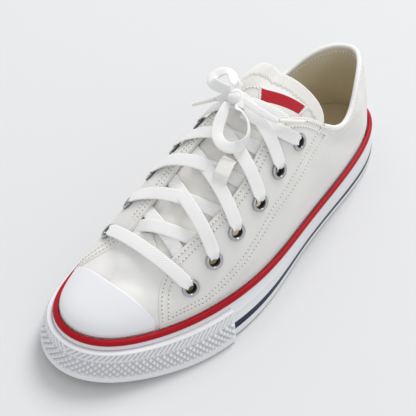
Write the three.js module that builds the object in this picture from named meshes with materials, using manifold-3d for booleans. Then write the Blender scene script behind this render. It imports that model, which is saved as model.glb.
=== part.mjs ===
// Low canvas sneaker, left shoe, about EU 39, standing empty on its sole.
// Millimetres. +X points to the toe, +Y to the outer side, +Z up.
// A point of the shoe's skin is found from an angle round the shoe (0 at the toe, 90 on the outer
// side, 180 at the back of the heel) and a height share v (0 at the foxing's top, 1 on the ridge
// that runs along the middle of the instep).
import * as THREE from 'three';
import * as BufferGeometryUtils from 'three/addons/utils/BufferGeometryUtils.js';
import Module from 'manifold-3d';

const wasm = await Module();
wasm.setup();

// ---------------------------------------------------------------- driving dimensions
const SOLE_LENGTH = 276;
const WELT_LENGTH = 257;
const WELT_CENTRE_X = -2.35;
const WELT_HEIGHT = 26.7;
const WELT_TOE_RISE = 6.4;
const WELT_RISE_START = 60;
const RIDGE_REACH = 98;
const TOE_SPRING = 7;
const TOE_SPRING_START = 70;
const SPRING_RUN = 70;
const ARCH_RISE = 1.6;
const ARCH_CENTRE_X = -18;
const ARCH_HALF_LENGTH = 34;
const GAP = 0.3;
const WALL = 2.0;
const UPPER_INSET = 2.8;
const FOXING_THICKNESS = 3.0;
const FOXING_LIFT = 0.9;
const FOXING_BULGE = 0.7;
const STRIPE_HEIGHT = 3.6;
const STRIPE_PROUD = 0.7;
const BUMPER_THICKNESS = 1.7;
const BUMPER_END_ANGLE = 66;
const BUMPER_FADE_ANGLE = 40;
const BUMPER_LOW_SHARE = 0.05;
const BUMPER_MIDDLE_SHARE = 0.4;
const BUMPER_TOP_SHARE = 0.74;
const CAP_THICKNESS = 1.3;
const CAP_CLEARANCE = 0.5;
const CAP_REAR_X = 96;
const CAP_REAR_SKEW = -0.09;
const CAP_REAR_BOW = 25;
const CAP_LOW_SHARE = 0.035;
const INSOLE_THICKNESS = 3.2;
const INSOLE_CLEARANCE = 1.0;
const INSOLE_LIFT = 0.6;
const TONGUE_THICKNESS = 2.6;
const TONGUE_GAP = 1.5;
const TONGUE_FRONT_X = 72;
const TONGUE_BACK_X = -40;
const TONGUE_DRAPE = 22;
const TONGUE_NECK = 0.36;
const TONGUE_NECK_START = 0.6;
const TONGUE_NECK_END = 0.79;
const TONGUE_INNER_END = 0.62;
const TONGUE_FREE_SHARE = 0.8;
const TONGUE_LIFT = 12;
const TONGUE_FRONT_SHARE = 0.7;
const TONGUE_BACK_SHARE = 0.44;
const LUG_DEPTH = 1.5;
const LUG_GROOVE = 2.4;
const TREAD_STEP = 13;
const TREAD_ROWS = 4;
const TREAD_FOREFOOT_X = 18;
const TREAD_HEEL_X = -112;
const ZIGZAG_TEETH = 6;
const ZIGZAG_PITCH = 17;
const ZIGZAG_SWING = 5;
const EYELET_RADIUS = 4.6;
const EYELET_BORE = 2.4;
const EYELET_BARREL = 3.0;
const EYELET_HOLE = 3.4;
const EYELET_HEIGHT = 1.1;
const EYELET_SEAT = 0.35;
const EYELET_FACETS = 10;
const LACE_WIDTH = 7.6;
const LACE_THICKNESS = 1.6;
const BAR_LIFTS = [3.2, 3.2, 3.2, 3.2, 3.2, 3.2, 3.2];
const LACE_EDGE_OUT = 0.42;
const LACE_EDGE_IN = 0.3;
const LACE_EDGE_AHEAD = 4;
const FIRST_CROSS_BEHIND = 9;
const CROSS_LIFTS = [3.2, 3.2, 3.2, 3.0, 2.0, 0.8, -0.2];
const FIRST_CROSS_LIFTS = [-0.2, 0.4, 0.9, 1.0, 0.9, 0.4, -0.2];
const TOP_LIFTS = [3.2, 3.2, 3.2, 3.2, 3.3, 3.7, 4.1];
const TOP_END_OUT = { x: -18.8, across: 0.27 };
const TOP_END_IN = { x: -18.6, across: -0.42 };
const BAND_SHARE = 0.55;
const KEEPER_WIDTH = 8.6;
const KEEPER_THICKNESS = 1.2;
const KEEPER_LIFTS = [-1.8, 3.6, 6.2, 6.4, 6.4, 6.4, 6.4, 6.2, -1.8];
const LOOP_RADIUS = 1.9;
const AGLET_RADIUS = 1.1;
const COLUMNS = 60;
const THROAT_COLUMN = 8;
const TOE_COLUMNS = 9;

// The columns of the section table.
// soleOut, soleIn   sideways place of the sole's edge on the floor, outer and inner side
// weltOut, weltIn   sideways place of the foxing's top edge
// ridge             sideways place of the ridge line
// rise, lean        first control arm of the wall: how high and how far outwards it starts
// reach             second control arm: share of the way back from the ridge to the wall
// rimOut, rimIn     share v at which the canvas ends at the throat and collar
const SECTION_COLUMNS = [
  'soleOut', 'soleIn', 'weltOut', 'weltIn', 'ridge', 'rise', 'lean', 'reach', 'rimOut', 'rimIn',
];

// One row for every 20 degrees round the shoe, from the toe's tip to the back of the heel.
const SECTIONS = [
  [ -8.0,  -8.0,  -8.7,  -8.7,  -7.0,   7.0,   0.0, 0.62, 0.80, 0.80],
  [ 14.8, -30.5,  12.0, -27.7,  -6.5,   7.0,   0.0, 0.62, 0.80, 0.80],
  [ 34.5, -42.8,  27.0, -36.6,  -4.5,   8.6,   0.2, 0.69, 0.69, 0.80],
  [ 53.0, -48.0,  40.5, -42.8,  -2.0,  13.5,   0.4, 0.78, 0.76, 0.86],
  [ 54.8, -45.5,  47.1, -42.8,   0.0,  18.7,   0.5, 0.88, 0.71, 0.82],
  [ 40.8, -36.0,  40.3, -35.0,   0.0,  26.0,   0.4, 0.90, 0.91, 0.90],
  [ 37.1, -33.0,  35.8, -31.4,   0.0,  28.6,   0.0, 0.74, 0.23, 0.30],
  [ 32.8, -30.8,  29.3, -29.6,   0.0,  30.3,  -0.8, 0.60, 0.47, 0.47],
  [ 17.1, -18.6,  18.4, -19.4,   0.0,  31.5,  -1.1, 0.50, 0.50, 0.50],
  [  0.6,   0.6,   1.3,   1.3,   0.0,  32.2,  -1.2, 0.48, 0.49, 0.49],
].map(row => Object.fromEntries(row.map((value, k) => [SECTION_COLUMNS[k], value])));

// Heights along the shoe, one value for every step in x, from the toe backwards.
const RIDGE_LINE = {
  start: 120,
  step: -24,
  heights: [40.2, 48.4, 56.5, 70.3, 83.9, 95.8, 109.5, 115.8, 116.1, 113.9, 113.1],
};
const FOOTBED = { start: 130, step: -52, heights: [13.5, 10.5, 10.5, 13.0, 15.0, 15.5] };

// Eyelets, one row a pair from the toe upwards: angle and share v on the outer and inner side.
const EYELETS = [
  { angleOut: 55.1, vOut: 0.39, angleIn: 51.5, vIn: 0.53 },
  { angleOut: 64.1, vOut: 0.48, angleIn: 62.8, vIn: 0.54 },
  { angleOut: 72.9, vOut: 0.54, angleIn: 73.2, vIn: 0.54 },
  { angleOut: 82.3, vOut: 0.56, angleIn: 82.1, vIn: 0.57 },
  { angleOut: 91.4, vOut: 0.59, angleIn: 90.8, vIn: 0.59 },
  { angleOut: 101.1, vOut: 0.58, angleIn: 99.5, vIn: 0.60 },
];

// The bow: a knot, two loops and two short ends with their aglets, as routes from the knot outwards.
const KNOT_CENTRE = [-9.5, -5.2, 110];
const KNOT_HALF_SIZE = [4.8, 4.6, 4.0];
const FRONT_LOOP = [
  [-4.4, -7.2, 108.0], [-1.4, -6.4, 106.6], [2.0, -5.4, 105.0], [5.5, -4.4, 103.0], [9.2, -3.0, 100.8],
  [12.6, -0.6, 98.8], [14.9, 3.2, 97.4], [15.4, 7.4, 96.6], [14.0, 11.4, 96.6], [10.8, 14.4, 97.6],
  [7.0, 15.6, 99.2], [3.0, 14.9, 101.2], [-0.4, 12.6, 103.4], [-2.8, 9.2, 105.6], [-4.0, 5.0, 107.6],
  [-4.6, 1.0, 109.0],
];
const BACK_LOOP = [
  [-10.6, -10.8, 111.6], [-10.8, -14.0, 110.9], [-11.5, -17.8, 110.1], [-12.8, -22.2, 109.4],
  [-15.2, -26.0, 109.2], [-18.8, -28.0, 109.8], [-22.4, -27.4, 111.0], [-25.0, -24.6, 112.6],
  [-25.8, -20.8, 114.2], [-25.0, -17.0, 115.4], [-23.0, -13.8, 116.2], [-20.6, -11.2, 116.4],
  [-18.2, -9.4, 115.8], [-16.2, -8.2, 114.8], [-14.9, -7.6, 113.6],
];
const OUTER_END = [
  [-9.2, 0.2, 110.8], [-9.3, 3.2, 110.4], [-9.9, 7.0, 109.2], [-11.0, 11.5, 107.6], [-12.5, 16.0, 106.0],
  [-14.0, 19.6, 104.8],
];
const OUTER_AGLET = [[-14.9, 20.4, 104.4], [-21.4, 24.4, 101.6], [-28.6, 28.4, 98.4]];
const INNER_END = [[-9.8, -10.6, 107.6], [-9.2, -13.0, 105.6], [-8.6, -15.6, 103.4], [-8.2, -18.0, 101.4]];
const INNER_AGLET = [[-7.8, -19.0, 100.9], [-4.6, -24.2, 98.0], [-1.0, -30.0, 94.8]];

// ---------------------------------------------------------------- the last
const RAD = Math.PI / 180;

function clamp(value, low, high) {
  return Math.min(Math.max(value, low), high);
}

// Weights of the four table entries round a place in a uniform cubic B-spline.
function splineWeights(t) {
  const s = 1 - t;
  const second = (3 * t ** 3 - 6 * t ** 2 + 4) / 6;
  const third = (-3 * t ** 3 + 3 * t ** 2 + 3 * t + 1) / 6;
  return [s ** 3 / 6, second, third, t ** 3 / 6];
}

// A closed smooth ring through the section rows: out along one side, back along the other.
function ring(outer, inner, degrees) {
  const last = SECTIONS.length - 1;
  const count = 2 * last;
  const place = (((degrees % 360) + 360) % 360) / 360 * count;
  const start = Math.floor(place);
  return splineWeights(place - start).reduce((sum, weight, k) => {
    const row = (start + k - 1 + count) % count;
    const value = row <= last ? SECTIONS[row][outer] : SECTIONS[count - row][inner];
    return sum + weight * value;
  }, 0);
}

// A smooth height along x, its ends carried on straight.
function along(table, x) {
  const { start, step, heights } = table;
  const last = heights.length - 1;
  const place = clamp((x - start) / step, 0, last - 1e-4);
  const first = Math.floor(place);
  return splineWeights(place - first).reduce((sum, weight, k) => {
    const row = first + k - 1;
    const low = 2 * heights[0] - heights[1];
    const high = 2 * heights[last] - heights[last - 1];
    return sum + weight * (row < 0 ? low : row > last ? high : heights[row]);
  }, 0);
}

function toeSpring(x) {
  return TOE_SPRING * clamp((x - TOE_SPRING_START) / SPRING_RUN, 0, 1) ** 2;
}

function archLift(x) {
  const share = clamp(Math.abs(x - ARCH_CENTRE_X) / ARCH_HALF_LENGTH, 0, 1);
  return ARCH_RISE * (1 - share ** 2) ** 2;
}

function weltHeight(x) {
  return WELT_HEIGHT + WELT_TOE_RISE * clamp((x - WELT_RISE_START) / SPRING_RUN, 0, 1) ** 2;
}

function weltPoint(degrees) {
  const x = WELT_CENTRE_X + WELT_LENGTH / 2 * Math.cos(degrees * RAD);
  return new THREE.Vector3(x, ring('weltOut', 'weltIn', degrees), weltHeight(x));
}

function ridgePoint(degrees) {
  const x = WELT_CENTRE_X + RIDGE_REACH * Math.cos(degrees * RAD);
  return new THREE.Vector3(x, ring('ridge', 'ridge', degrees), along(RIDGE_LINE, x));
}

// The sole's edge on the floor, lifted by the toe spring.
function floorPoint(degrees) {
  const x = SOLE_LENGTH / 2 * Math.cos(degrees * RAD);
  return new THREE.Vector3(x, ring('soleOut', 'soleIn', degrees), toeSpring(x));
}

// The level direction that points away from the shoe, square to the sole's edge.
function awayFromSole(degrees) {
  const along = floorPoint(degrees + 0.5).sub(floorPoint(degrees - 0.5));
  return new THREE.Vector3(along.y, -along.x, 0).normalize();
}

// 1 where the bumper covers the foxing, fading to 0 behind its ends.
function bumperShare(degrees) {
  const fromToe = Math.abs(((degrees + 180) % 360 + 360) % 360 - 180);
  return 1 - clamp((fromToe - BUMPER_END_ANGLE) / BUMPER_FADE_ANGLE, 0, 1);
}

// The foxing's outer face: share 0 at the floor, 1 at the welt, bulging a little between.
function foxingPoint(degrees, share, outwards) {
  const bulge = FOXING_BULGE * 4 * share * (1 - share);
  const room = BUMPER_THICKNESS * bumperShare(degrees) * (1 - share);
  const point = floorPoint(degrees).lerp(weltPoint(degrees), share);
  return point.addScaledVector(awayFromSole(degrees), outwards + bulge - room);
}

// The foxing's outer face at one height above the floor.
function foxingAt(degrees, height, outwards) {
  const floor = floorPoint(degrees).z;
  const share = (height - floor) / (weltPoint(degrees).z - floor);
  return foxingPoint(degrees, share, outwards).setZ(height);
}

function bedHeight(x) {
  return along(FOOTBED, x) + toeSpring(x);
}

// The edge of the footbed, a given way outwards from the foxing's outer face.
function bedEdge(degrees, outwards) {
  const point = foxingAt(degrees, bedHeight(weltPoint(degrees).x), outwards);
  return point.setZ(bedHeight(point.x));
}

function ridgeSlope(x) {
  return along(RIDGE_LINE, x + 0.5) - along(RIDGE_LINE, x - 0.5);
}

// A point on the last's surface. Below the welt, v from 0 to -1 runs down to the footbed's edge.
function lastPoint(degrees, v) {
  const ridge = ridgePoint(degrees);
  const welt = weltPoint(degrees);
  const inwards = new THREE.Vector3(ridge.x - welt.x, ridge.y - welt.y, 0).normalize();
  welt.addScaledVector(inwards, UPPER_INSET);
  if (v < 0) {
    const foot = bedEdge(degrees, -FOXING_THICKNESS - GAP);
    foot.z += GAP;
    return welt.lerp(foot, -v);
  }
  const away = new THREE.Vector3(welt.x - ridge.x, welt.y - ridge.y, 0);
  const reach = ring('reach', 'reach', degrees);
  const slope = ridgeSlope(ridge.x);
  const low = welt.clone().addScaledVector(inwards, -ring('lean', 'lean', degrees));
  low.z += ring('rise', 'rise', degrees);
  const high = ridge.clone().addScaledVector(away, reach);
  high.z += slope * away.x * reach;
  return new THREE.CubicBezierCurve3(welt, low, high, ridge).getPoint(v);
}

// The outward direction of the skin, from its two tangents.
function skinNormal(degrees, v) {
  if (v > 0.995) {
    return new THREE.Vector3(-ridgeSlope(ridgePoint(degrees).x), 0, 1).normalize();
  }
  const stepAngle = 0.5;
  const stepShare = 0.004;
  const round = lastPoint(degrees + stepAngle, v).sub(lastPoint(degrees - stepAngle, v));
  const up = lastPoint(degrees, v + stepShare).sub(lastPoint(degrees, v - (v < stepShare ? 0 : stepShare)));
  return round.cross(up).normalize();
}

function skin(degrees, v, offset) {
  return lastPoint(degrees, v).addScaledVector(skinNormal(degrees, v), offset);
}

// The same skin found from x and a share across the instep: 1 the outer side, 0 the ridge, -1 the
// inner side, where 1 stands for the height share vSide.
function instep(x, across, vSide, offset) {
  const side = across < 0 ? -1 : 1;
  const v = 1 - Math.abs(across) * (1 - vSide);
  let low = 1;
  let high = 179;
  for (let turn = 0; turn < 24; turn += 1) {
    const middle = (low + high) / 2;
    if (lastPoint(side * middle, v).x > x) {
      low = middle;
    } else {
      high = middle;
    }
  }
  return { point: skin(side * low, v, offset), normal: skinNormal(side * low, v) };
}

// ---------------------------------------------------------------- closed meshes
// A mesh that collects points and four-sided faces.
class Shell {
  constructor() {
    this.positions = [];
    this.faces = [];
  }

  point(vector) {
    this.positions.push(vector.x, vector.y, vector.z);
    return this.positions.length / 3 - 1;
  }

  quad(a, b, c, d) {
    this.triangle(a, b, c);
    this.triangle(a, c, d);
  }

  triangle(a, b, c) {
    if (a !== b && b !== c && a !== c) {
      this.faces.push(a, b, c);
    }
  }

  // A band of faces between two equally long rows of points.
  band(first, second, closed) {
    const steps = closed ? first.length : first.length - 1;
    for (let k = 0; k < steps; k += 1) {
      const next = (k + 1) % first.length;
      this.quad(first[k], first[next], second[next], second[k]);
    }
  }

  geometry() {
    const geometry = new THREE.BufferGeometry();
    geometry.setAttribute('position', new THREE.Float32BufferAttribute(this.positions, 3));
    geometry.setIndex(this.faces);
    return outwards(geometry);
  }
}

// Turns every face round when the closed mesh encloses a negative volume.
function outwards(geometry) {
  const { array } = geometry.getAttribute('position');
  const index = geometry.getIndex().array;
  const corner = k => new THREE.Vector3().fromArray(array, index[k] * 3);
  let volume = 0;
  for (let k = 0; k < index.length; k += 3) {
    volume += corner(k).dot(corner(k + 1).cross(corner(k + 2)));
  }
  if (volume < 0) {
    for (let k = 0; k < index.length; k += 3) {
      [index[k + 1], index[k + 2]] = [index[k + 2], index[k + 1]];
    }
  }
  return geometry;
}

function toSolid(geometry) {
  const bare = geometry.clone();
  bare.deleteAttribute('normal');
  bare.deleteAttribute('uv');
  const merged = BufferGeometryUtils.mergeVertices(bare, 1e-4);
  const vertProperties = new Float32Array(merged.getAttribute('position').array);
  const triVerts = new Uint32Array(merged.getIndex().array);
  return new wasm.Manifold(new wasm.Mesh({ numProp: 3, vertProperties, triVerts }));
}

function toGeometry(solid) {
  const mesh = solid.getMesh();
  const geometry = new THREE.BufferGeometry();
  geometry.setAttribute('position', new THREE.Float32BufferAttribute(mesh.vertProperties, 3));
  geometry.setIndex(Array.from(mesh.triVerts));
  return geometry;
}

function columnAngle(column) {
  return column * 360 / COLUMNS;
}

// ---------------------------------------------------------------- upper
// The rows of one face of the upper, by column: skirt, wall up to the rim, and over the toe and
// vamp on to the ridge, where the columns of both sides share their points.
const WALL_ROWS = 5;
const VAMP_ROWS = 4;

function isVamp(column) {
  return Math.min(column, COLUMNS - column) <= THROAT_COLUMN;
}

function upperFace(shell, offset) {
  const face = [];
  for (let column = 0; column < COLUMNS; column += 1) {
    const degrees = columnAngle(column);
    const rim = ring('rimOut', 'rimIn', degrees);
    const shares = [-1, -0.5, 0];
    for (let row = 1; row <= WALL_ROWS; row += 1) {
      shares.push(rim * row / WALL_ROWS);
    }
    for (let row = 1; isVamp(column) && row < VAMP_ROWS; row += 1) {
      shares.push(rim + (1 - rim) * row / VAMP_ROWS);
    }
    const spots = shares.map(v => skin(degrees, v, offset));
    spots[0].z = bedHeight(spots[0].x) + GAP;
    const points = spots.map(spot => shell.point(spot));
    if (isVamp(column)) {
      const twin = COLUMNS - column;
      points.push(column > COLUMNS / 2 ? face[twin].at(-1) : shell.point(skin(degrees, 1, offset)));
    }
    face.push(points);
  }
  return face;
}

function makeUpper() {
  const shell = new Shell();
  const outer = upperFace(shell, 0);
  const inner = upperFace(shell, -WALL);
  const rimRow = 2 + WALL_ROWS;
  const topRow = rimRow + VAMP_ROWS;
  for (let column = 0; column < COLUMNS; column += 1) {
    const next = (column + 1) % COLUMNS;
    const rows = isVamp(column) && isVamp(next) ? topRow : rimRow;
    shell.band(outer[column].slice(0, rows + 1), outer[next].slice(0, rows + 1), false);
    shell.band(inner[next].slice(0, rows + 1), inner[column].slice(0, rows + 1), false);
  }
  const columns = [...Array(COLUMNS).keys()];
  shell.band(columns.map(k => outer[k][0]), columns.map(k => inner[k][0]), true);
  const opening = face => {
    const open = columns.filter(k => k >= THROAT_COLUMN && k <= COLUMNS - THROAT_COLUMN);
    const round = open.map(k => face[k][rimRow]);
    const up = face[COLUMNS - THROAT_COLUMN].slice(rimRow + 1, topRow + 1);
    const down = face[THROAT_COLUMN].slice(rimRow + 1, topRow).reverse();
    return [...round, ...up, ...down];
  };
  shell.band(opening(inner), opening(outer), true);
  const holes = eyeletPlaces().map(place => toSolid(placed(eyeletHole(), place)));
  const pierced = holes.reduce((solid, hole) => solid.subtract(hole), toSolid(shell.geometry()));
  return toGeometry(pierced);
}

// ---------------------------------------------------------------- sole
// A closed slab between two height functions inside a ring of outline points, with a spine of
// shared points along its middle.
function slab(outline, bottomHeight, topHeight) {
  const shell = new Shell();
  const shares = [0.55, 1];
  const layer = (height, share, side) => {
    const points = [];
    for (let column = 0; column < COLUMNS; column += 1) {
      const degrees = columnAngle(column);
      const spine = ridgePoint(degrees);
      const edge = outline(degrees, side);
      const x = spine.x + (edge.x - spine.x) * share;
      const y = spine.y * (1 - share) + edge.y * share;
      const twin = COLUMNS - column;
      const shared = share === 0 && column > COLUMNS / 2;
      points.push(shared ? points[twin] : shell.point(new THREE.Vector3(x, y, height(x, share))));
    }
    return points;
  };
  const bottom = [0, ...shares].map(share => layer(bottomHeight, share, 0));
  const top = [0, ...shares].map(share => layer(topHeight, share, 1));
  for (let k = 0; k < shares.length; k += 1) {
    shell.band(bottom[k], bottom[k + 1], true);
    shell.band(top[k + 1], top[k], true);
  }
  shell.band(bottom.at(-1), top.at(-1), true);
  return shell.geometry();
}

// A zigzag bar that cuts one groove of the herringbone tread across the sole.
function treadGroove(x) {
  const shape = new THREE.Shape();
  const corner = (k, side) => [x + (k % 2) * ZIGZAG_SWING + side, (k - ZIGZAG_TEETH / 2) * ZIGZAG_PITCH];
  shape.moveTo(...corner(0, 0));
  for (let k = 1; k <= ZIGZAG_TEETH; k += 1) {
    shape.lineTo(...corner(k, 0));
  }
  for (let k = ZIGZAG_TEETH; k >= 0; k -= 1) {
    shape.lineTo(...corner(k, LUG_GROOVE));
  }
  const bar = new THREE.ExtrudeGeometry(shape, { depth: 2 * LUG_DEPTH, bevelEnabled: false });
  return bar.translate(0, 0, -LUG_DEPTH);
}

function makeOutsole() {
  const inwards = -FOXING_THICKNESS - GAP;
  const outline = (degrees, side) => (side ? bedEdge(degrees, inwards) : foxingPoint(degrees, 0, inwards));
  const under = x => toeSpring(x) + archLift(x);
  const block = toSolid(slab(outline, under, bedHeight));
  const grooves = [TREAD_FOREFOOT_X, TREAD_HEEL_X].flatMap(first => (
    [...Array(TREAD_ROWS).keys()].map(k => toSolid(treadGroove(first + k * TREAD_STEP)))
  ));
  return toGeometry(grooves.reduce((solid, groove) => solid.subtract(groove), block));
}

function makeInsole() {
  const inwards = -FOXING_THICKNESS - GAP - WALL - INSOLE_CLEARANCE;
  const outline = (degrees, side) => bedEdge(degrees, inwards - side * INSOLE_CLEARANCE);
  const under = x => bedHeight(x) + INSOLE_LIFT;
  const over = x => under(x) + INSOLE_THICKNESS;
  return slab(outline, under, over);
}

// A closed ring or sector round the shoe from a function that gives one section's corner points.
function sweepRound(section, from, to, steps) {
  const shell = new Shell();
  const closed = to - from === 360;
  const rows = [];
  for (let k = 0; k < (closed ? steps : steps + 1); k += 1) {
    rows.push(section(from + (to - from) * k / steps).map(point => shell.point(point)));
  }
  for (let k = 0; k < steps; k += 1) {
    shell.band(rows[k], rows[(k + 1) % rows.length], true);
  }
  if (!closed) {
    for (let k = 1; k < rows[0].length - 1; k += 1) {
      shell.triangle(rows[0][0], rows[0][k + 1], rows[0][k]);
      shell.triangle(rows.at(-1)[0], rows.at(-1)[k], rows.at(-1)[k + 1]);
    }
  }
  return shell.geometry();
}

// A point just outside the upper's skirt at one height.
function besideSkirt(degrees, height) {
  const top = lastPoint(degrees, 0).z;
  const low = lastPoint(degrees, -1).z;
  return skin(degrees, -clamp((top - height) / (top - low), 0, 1), GAP).setZ(height);
}

function makeFoxing() {
  const section = degrees => {
    const welt = weltPoint(degrees);
    const top = welt.z - STRIPE_HEIGHT - GAP;
    const lowest = foxingPoint(degrees, 0, 0).z + FOXING_LIFT;
    return [
      foxingAt(degrees, lowest, -FOXING_THICKNESS), foxingAt(degrees, lowest, 0),
      foxingAt(degrees, (lowest + top) / 2, 0), foxingAt(degrees, top, 0),
      besideSkirt(degrees, top), bedEdge(degrees, -FOXING_THICKNESS),
    ];
  };
  return sweepRound(section, 0, 360, COLUMNS);
}

function makeStripe() {
  const section = degrees => {
    const top = weltPoint(degrees).z;
    const low = top - STRIPE_HEIGHT;
    const quarter = STRIPE_HEIGHT / 4;
    return [
      besideSkirt(degrees, low), foxingAt(degrees, low, 0), foxingAt(degrees, low + quarter, STRIPE_PROUD),
      foxingAt(degrees, top - quarter, STRIPE_PROUD), foxingAt(degrees, top, 0), besideSkirt(degrees, top),
    ];
  };
  return sweepRound(section, 0, 360, COLUMNS);
}

function makeBumper() {
  const section = degrees => {
    const near = GAP;
    const far = GAP + BUMPER_THICKNESS;
    const shoulder = BUMPER_TOP_SHARE - BUMPER_LOW_SHARE;
    return [
      foxingPoint(degrees, BUMPER_LOW_SHARE, near), foxingPoint(degrees, BUMPER_LOW_SHARE, far),
      foxingPoint(degrees, BUMPER_MIDDLE_SHARE, far), foxingPoint(degrees, shoulder, far),
      foxingPoint(degrees, BUMPER_TOP_SHARE, near), foxingPoint(degrees, BUMPER_MIDDLE_SHARE, near),
    ];
  };
  return sweepRound(section, -BUMPER_END_ANGLE, BUMPER_END_ANGLE, BUMPER_END_ANGLE / 3);
}

// ---------------------------------------------------------------- toe cap
// A closed form under the skin of the toe, at one offset from the upper, down to a flat floor.
function toeDome(offset) {
  const shell = new Shell();
  const rows = 9;
  const angles = [];
  for (let k = -TOE_COLUMNS; k <= TOE_COLUMNS; k += 1) {
    angles.push(columnAngle(k));
  }
  const low = CAP_LOW_SHARE;
  const floor = WELT_HEIGHT - UPPER_INSET;
  const columns = angles.map(degrees => {
    const points = [];
    for (let row = 0; row < rows; row += 1) {
      points.push(skin(degrees, low + (1 - low) * row / rows, offset));
    }
    return points.map(point => shell.point(point));
  });
  const tops = angles.map(degrees => (degrees > 0 ? -1 : shell.point(skin(degrees, 1, offset))));
  const under = angles.map(degrees => (degrees > 0 ? -1 : shell.point(ridgePoint(degrees).setZ(floor))));
  angles.forEach((degrees, k) => {
    columns[k].push(degrees > 0 ? tops[angles.length - 1 - k] : tops[k]);
    columns[k].unshift(shell.point(skin(degrees, low, offset).setZ(floor)));
    columns[k].unshift(degrees > 0 ? under[angles.length - 1 - k] : under[k]);
  });
  for (let k = 0; k < angles.length - 1; k += 1) {
    shell.band(columns[k], columns[k + 1], false);
  }
  const first = columns[0];
  const last = columns.at(-1);
  for (let k = 0; k < first.length - 1; k += 1) {
    shell.quad(first[k + 1], first[k], last[k], last[k + 1]);
  }
  return toSolid(shell.geometry());
}

function makeToeCap() {
  const proud = toeDome(GAP + CAP_THICKNESS);
  const shy = toeDome(GAP);
  const half = WELT_LENGTH / 4;
  const corner = CAP_REAR_X - CAP_REAR_BOW / 2;
  const outline = new THREE.Shape();
  outline.moveTo(corner - half * CAP_REAR_SKEW, -half);
  outline.quadraticCurveTo(corner + CAP_REAR_BOW, 0, corner + half * CAP_REAR_SKEW, half);
  outline.lineTo(CAP_REAR_X + 2 * half, half);
  outline.lineTo(CAP_REAR_X + 2 * half, -half);
  const block = new THREE.ExtrudeGeometry(outline, { depth: half, bevelEnabled: false, curveSegments: 8 });
  const front = toSolid(block.translate(0, 0, WELT_HEIGHT));
  return toGeometry(proud.subtract(shy).intersect(front).intersect(aboveStripe()));
}

// Everything over the stripe at the toe, as a side view carried right across the shoe.
function aboveStripe() {
  const step = 4;
  const end = WELT_CENTRE_X + WELT_LENGTH / 2 + step;
  const high = 3 * WELT_HEIGHT;
  const side = new THREE.Shape();
  side.moveTo(TOE_SPRING_START, high);
  for (let x = TOE_SPRING_START; x <= end; x += step) {
    side.lineTo(x, weltHeight(x + step / 2) + CAP_CLEARANCE);
  }
  side.lineTo(end + step, high);
  const block = new THREE.ExtrudeGeometry(side, { depth: WELT_LENGTH / 2, bevelEnabled: false });
  return toSolid(block.rotateX(Math.PI / 2).translate(0, WELT_LENGTH / 4, 0));
}

// ---------------------------------------------------------------- tongue
// A smooth step from 0 to 1 between two shares.
function smoothStep(from, to, share) {
  const way = clamp((share - from) / (to - from), 0, 1);
  return way * way * (3 - 2 * way);
}

// A long curved plate under the throat, narrow at the toe end. Its free end leans to the outer side:
// the outer corner hangs back into the collar, and the inner edge comes out beside the eyestay, where
// it stands up.
function makeTongue() {
  const shell = new Shell();
  const lengths = 17;
  const across = 12;
  const faces = [-WALL - TONGUE_GAP, -WALL - TONGUE_GAP - TONGUE_THICKNESS].map(offset => {
    const rows = [];
    for (let k = 0; k < lengths; k += 1) {
      const share = k / (lengths - 1);
      const neck = smoothStep(TONGUE_NECK_START, TONGUE_NECK_END, share);
      const free = smoothStep(TONGUE_FREE_SHARE, 1, share);
      const innerEdge = 1 - (1 - TONGUE_NECK) * neck + (TONGUE_INNER_END - TONGUE_NECK) * free;
      const vSide = TONGUE_FRONT_SHARE + (TONGUE_BACK_SHARE - TONGUE_FRONT_SHARE) * share;
      const row = [];
      for (let j = 0; j <= across; j += 1) {
        const place = 1 - (1 + innerEdge) * j / across;
        const end = TONGUE_BACK_X - TONGUE_DRAPE * clamp(place, 0, 1) ** 1.4;
        const { point } = instep(TONGUE_FRONT_X + (end - TONGUE_FRONT_X) * share, place, vSide, offset);
        point.z += TONGUE_LIFT * free * clamp(-place / innerEdge, 0, 1);
        row.push(shell.point(point));
      }
      rows.push(row);
    }
    return rows;
  });
  const [over, under] = faces;
  for (let k = 0; k < lengths - 1; k += 1) {
    shell.band(over[k], over[k + 1], false);
    shell.band(under[k + 1], under[k], false);
  }
  const rim = rows => [
    ...rows[0], ...rows.slice(1).map(row => row.at(-1)),
    ...rows.at(-1).slice(0, -1).reverse(), ...rows.slice(1, -1).map(row => row[0]).reverse(),
  ];
  shell.band(rim(under), rim(over), true);
  return shell.geometry();
}

// ---------------------------------------------------------------- eyelets
function eyeletPlaces() {
  return EYELETS.flatMap(row => [
    { degrees: row.angleOut, v: row.vOut },
    { degrees: -row.angleIn, v: row.vIn },
  ]);
}

// Moves a shape made round the Z axis to its place on the skin, pointing outwards.
function placed(geometry, place) {
  const normal = skinNormal(place.degrees, place.v);
  const turn = new THREE.Quaternion().setFromUnitVectors(new THREE.Vector3(0, 0, 1), normal);
  const spot = skin(place.degrees, place.v, 0);
  return geometry.applyQuaternion(turn).translate(spot.x, spot.y, spot.z);
}

function eyeletHole() {
  const depth = 4 * WALL;
  return new THREE.CylinderGeometry(EYELET_HOLE, EYELET_HOLE, depth, 8).rotateX(Math.PI / 2);
}

function eyelet() {
  const crown = EYELET_SEAT + EYELET_HEIGHT;
  const profile = [
    [EYELET_BORE, -WALL - GAP], [EYELET_BARREL, -WALL - GAP], [EYELET_BARREL, EYELET_SEAT],
    [EYELET_RADIUS, EYELET_SEAT], [(EYELET_RADIUS + EYELET_BARREL) / 2, crown],
    [EYELET_BORE, (EYELET_SEAT + crown) / 2], [EYELET_BORE, -WALL - GAP],
  ].map(([radius, height]) => new THREE.Vector2(radius, height));
  return new THREE.LatheGeometry(profile, EYELET_FACETS).rotateX(Math.PI / 2);
}

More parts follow.
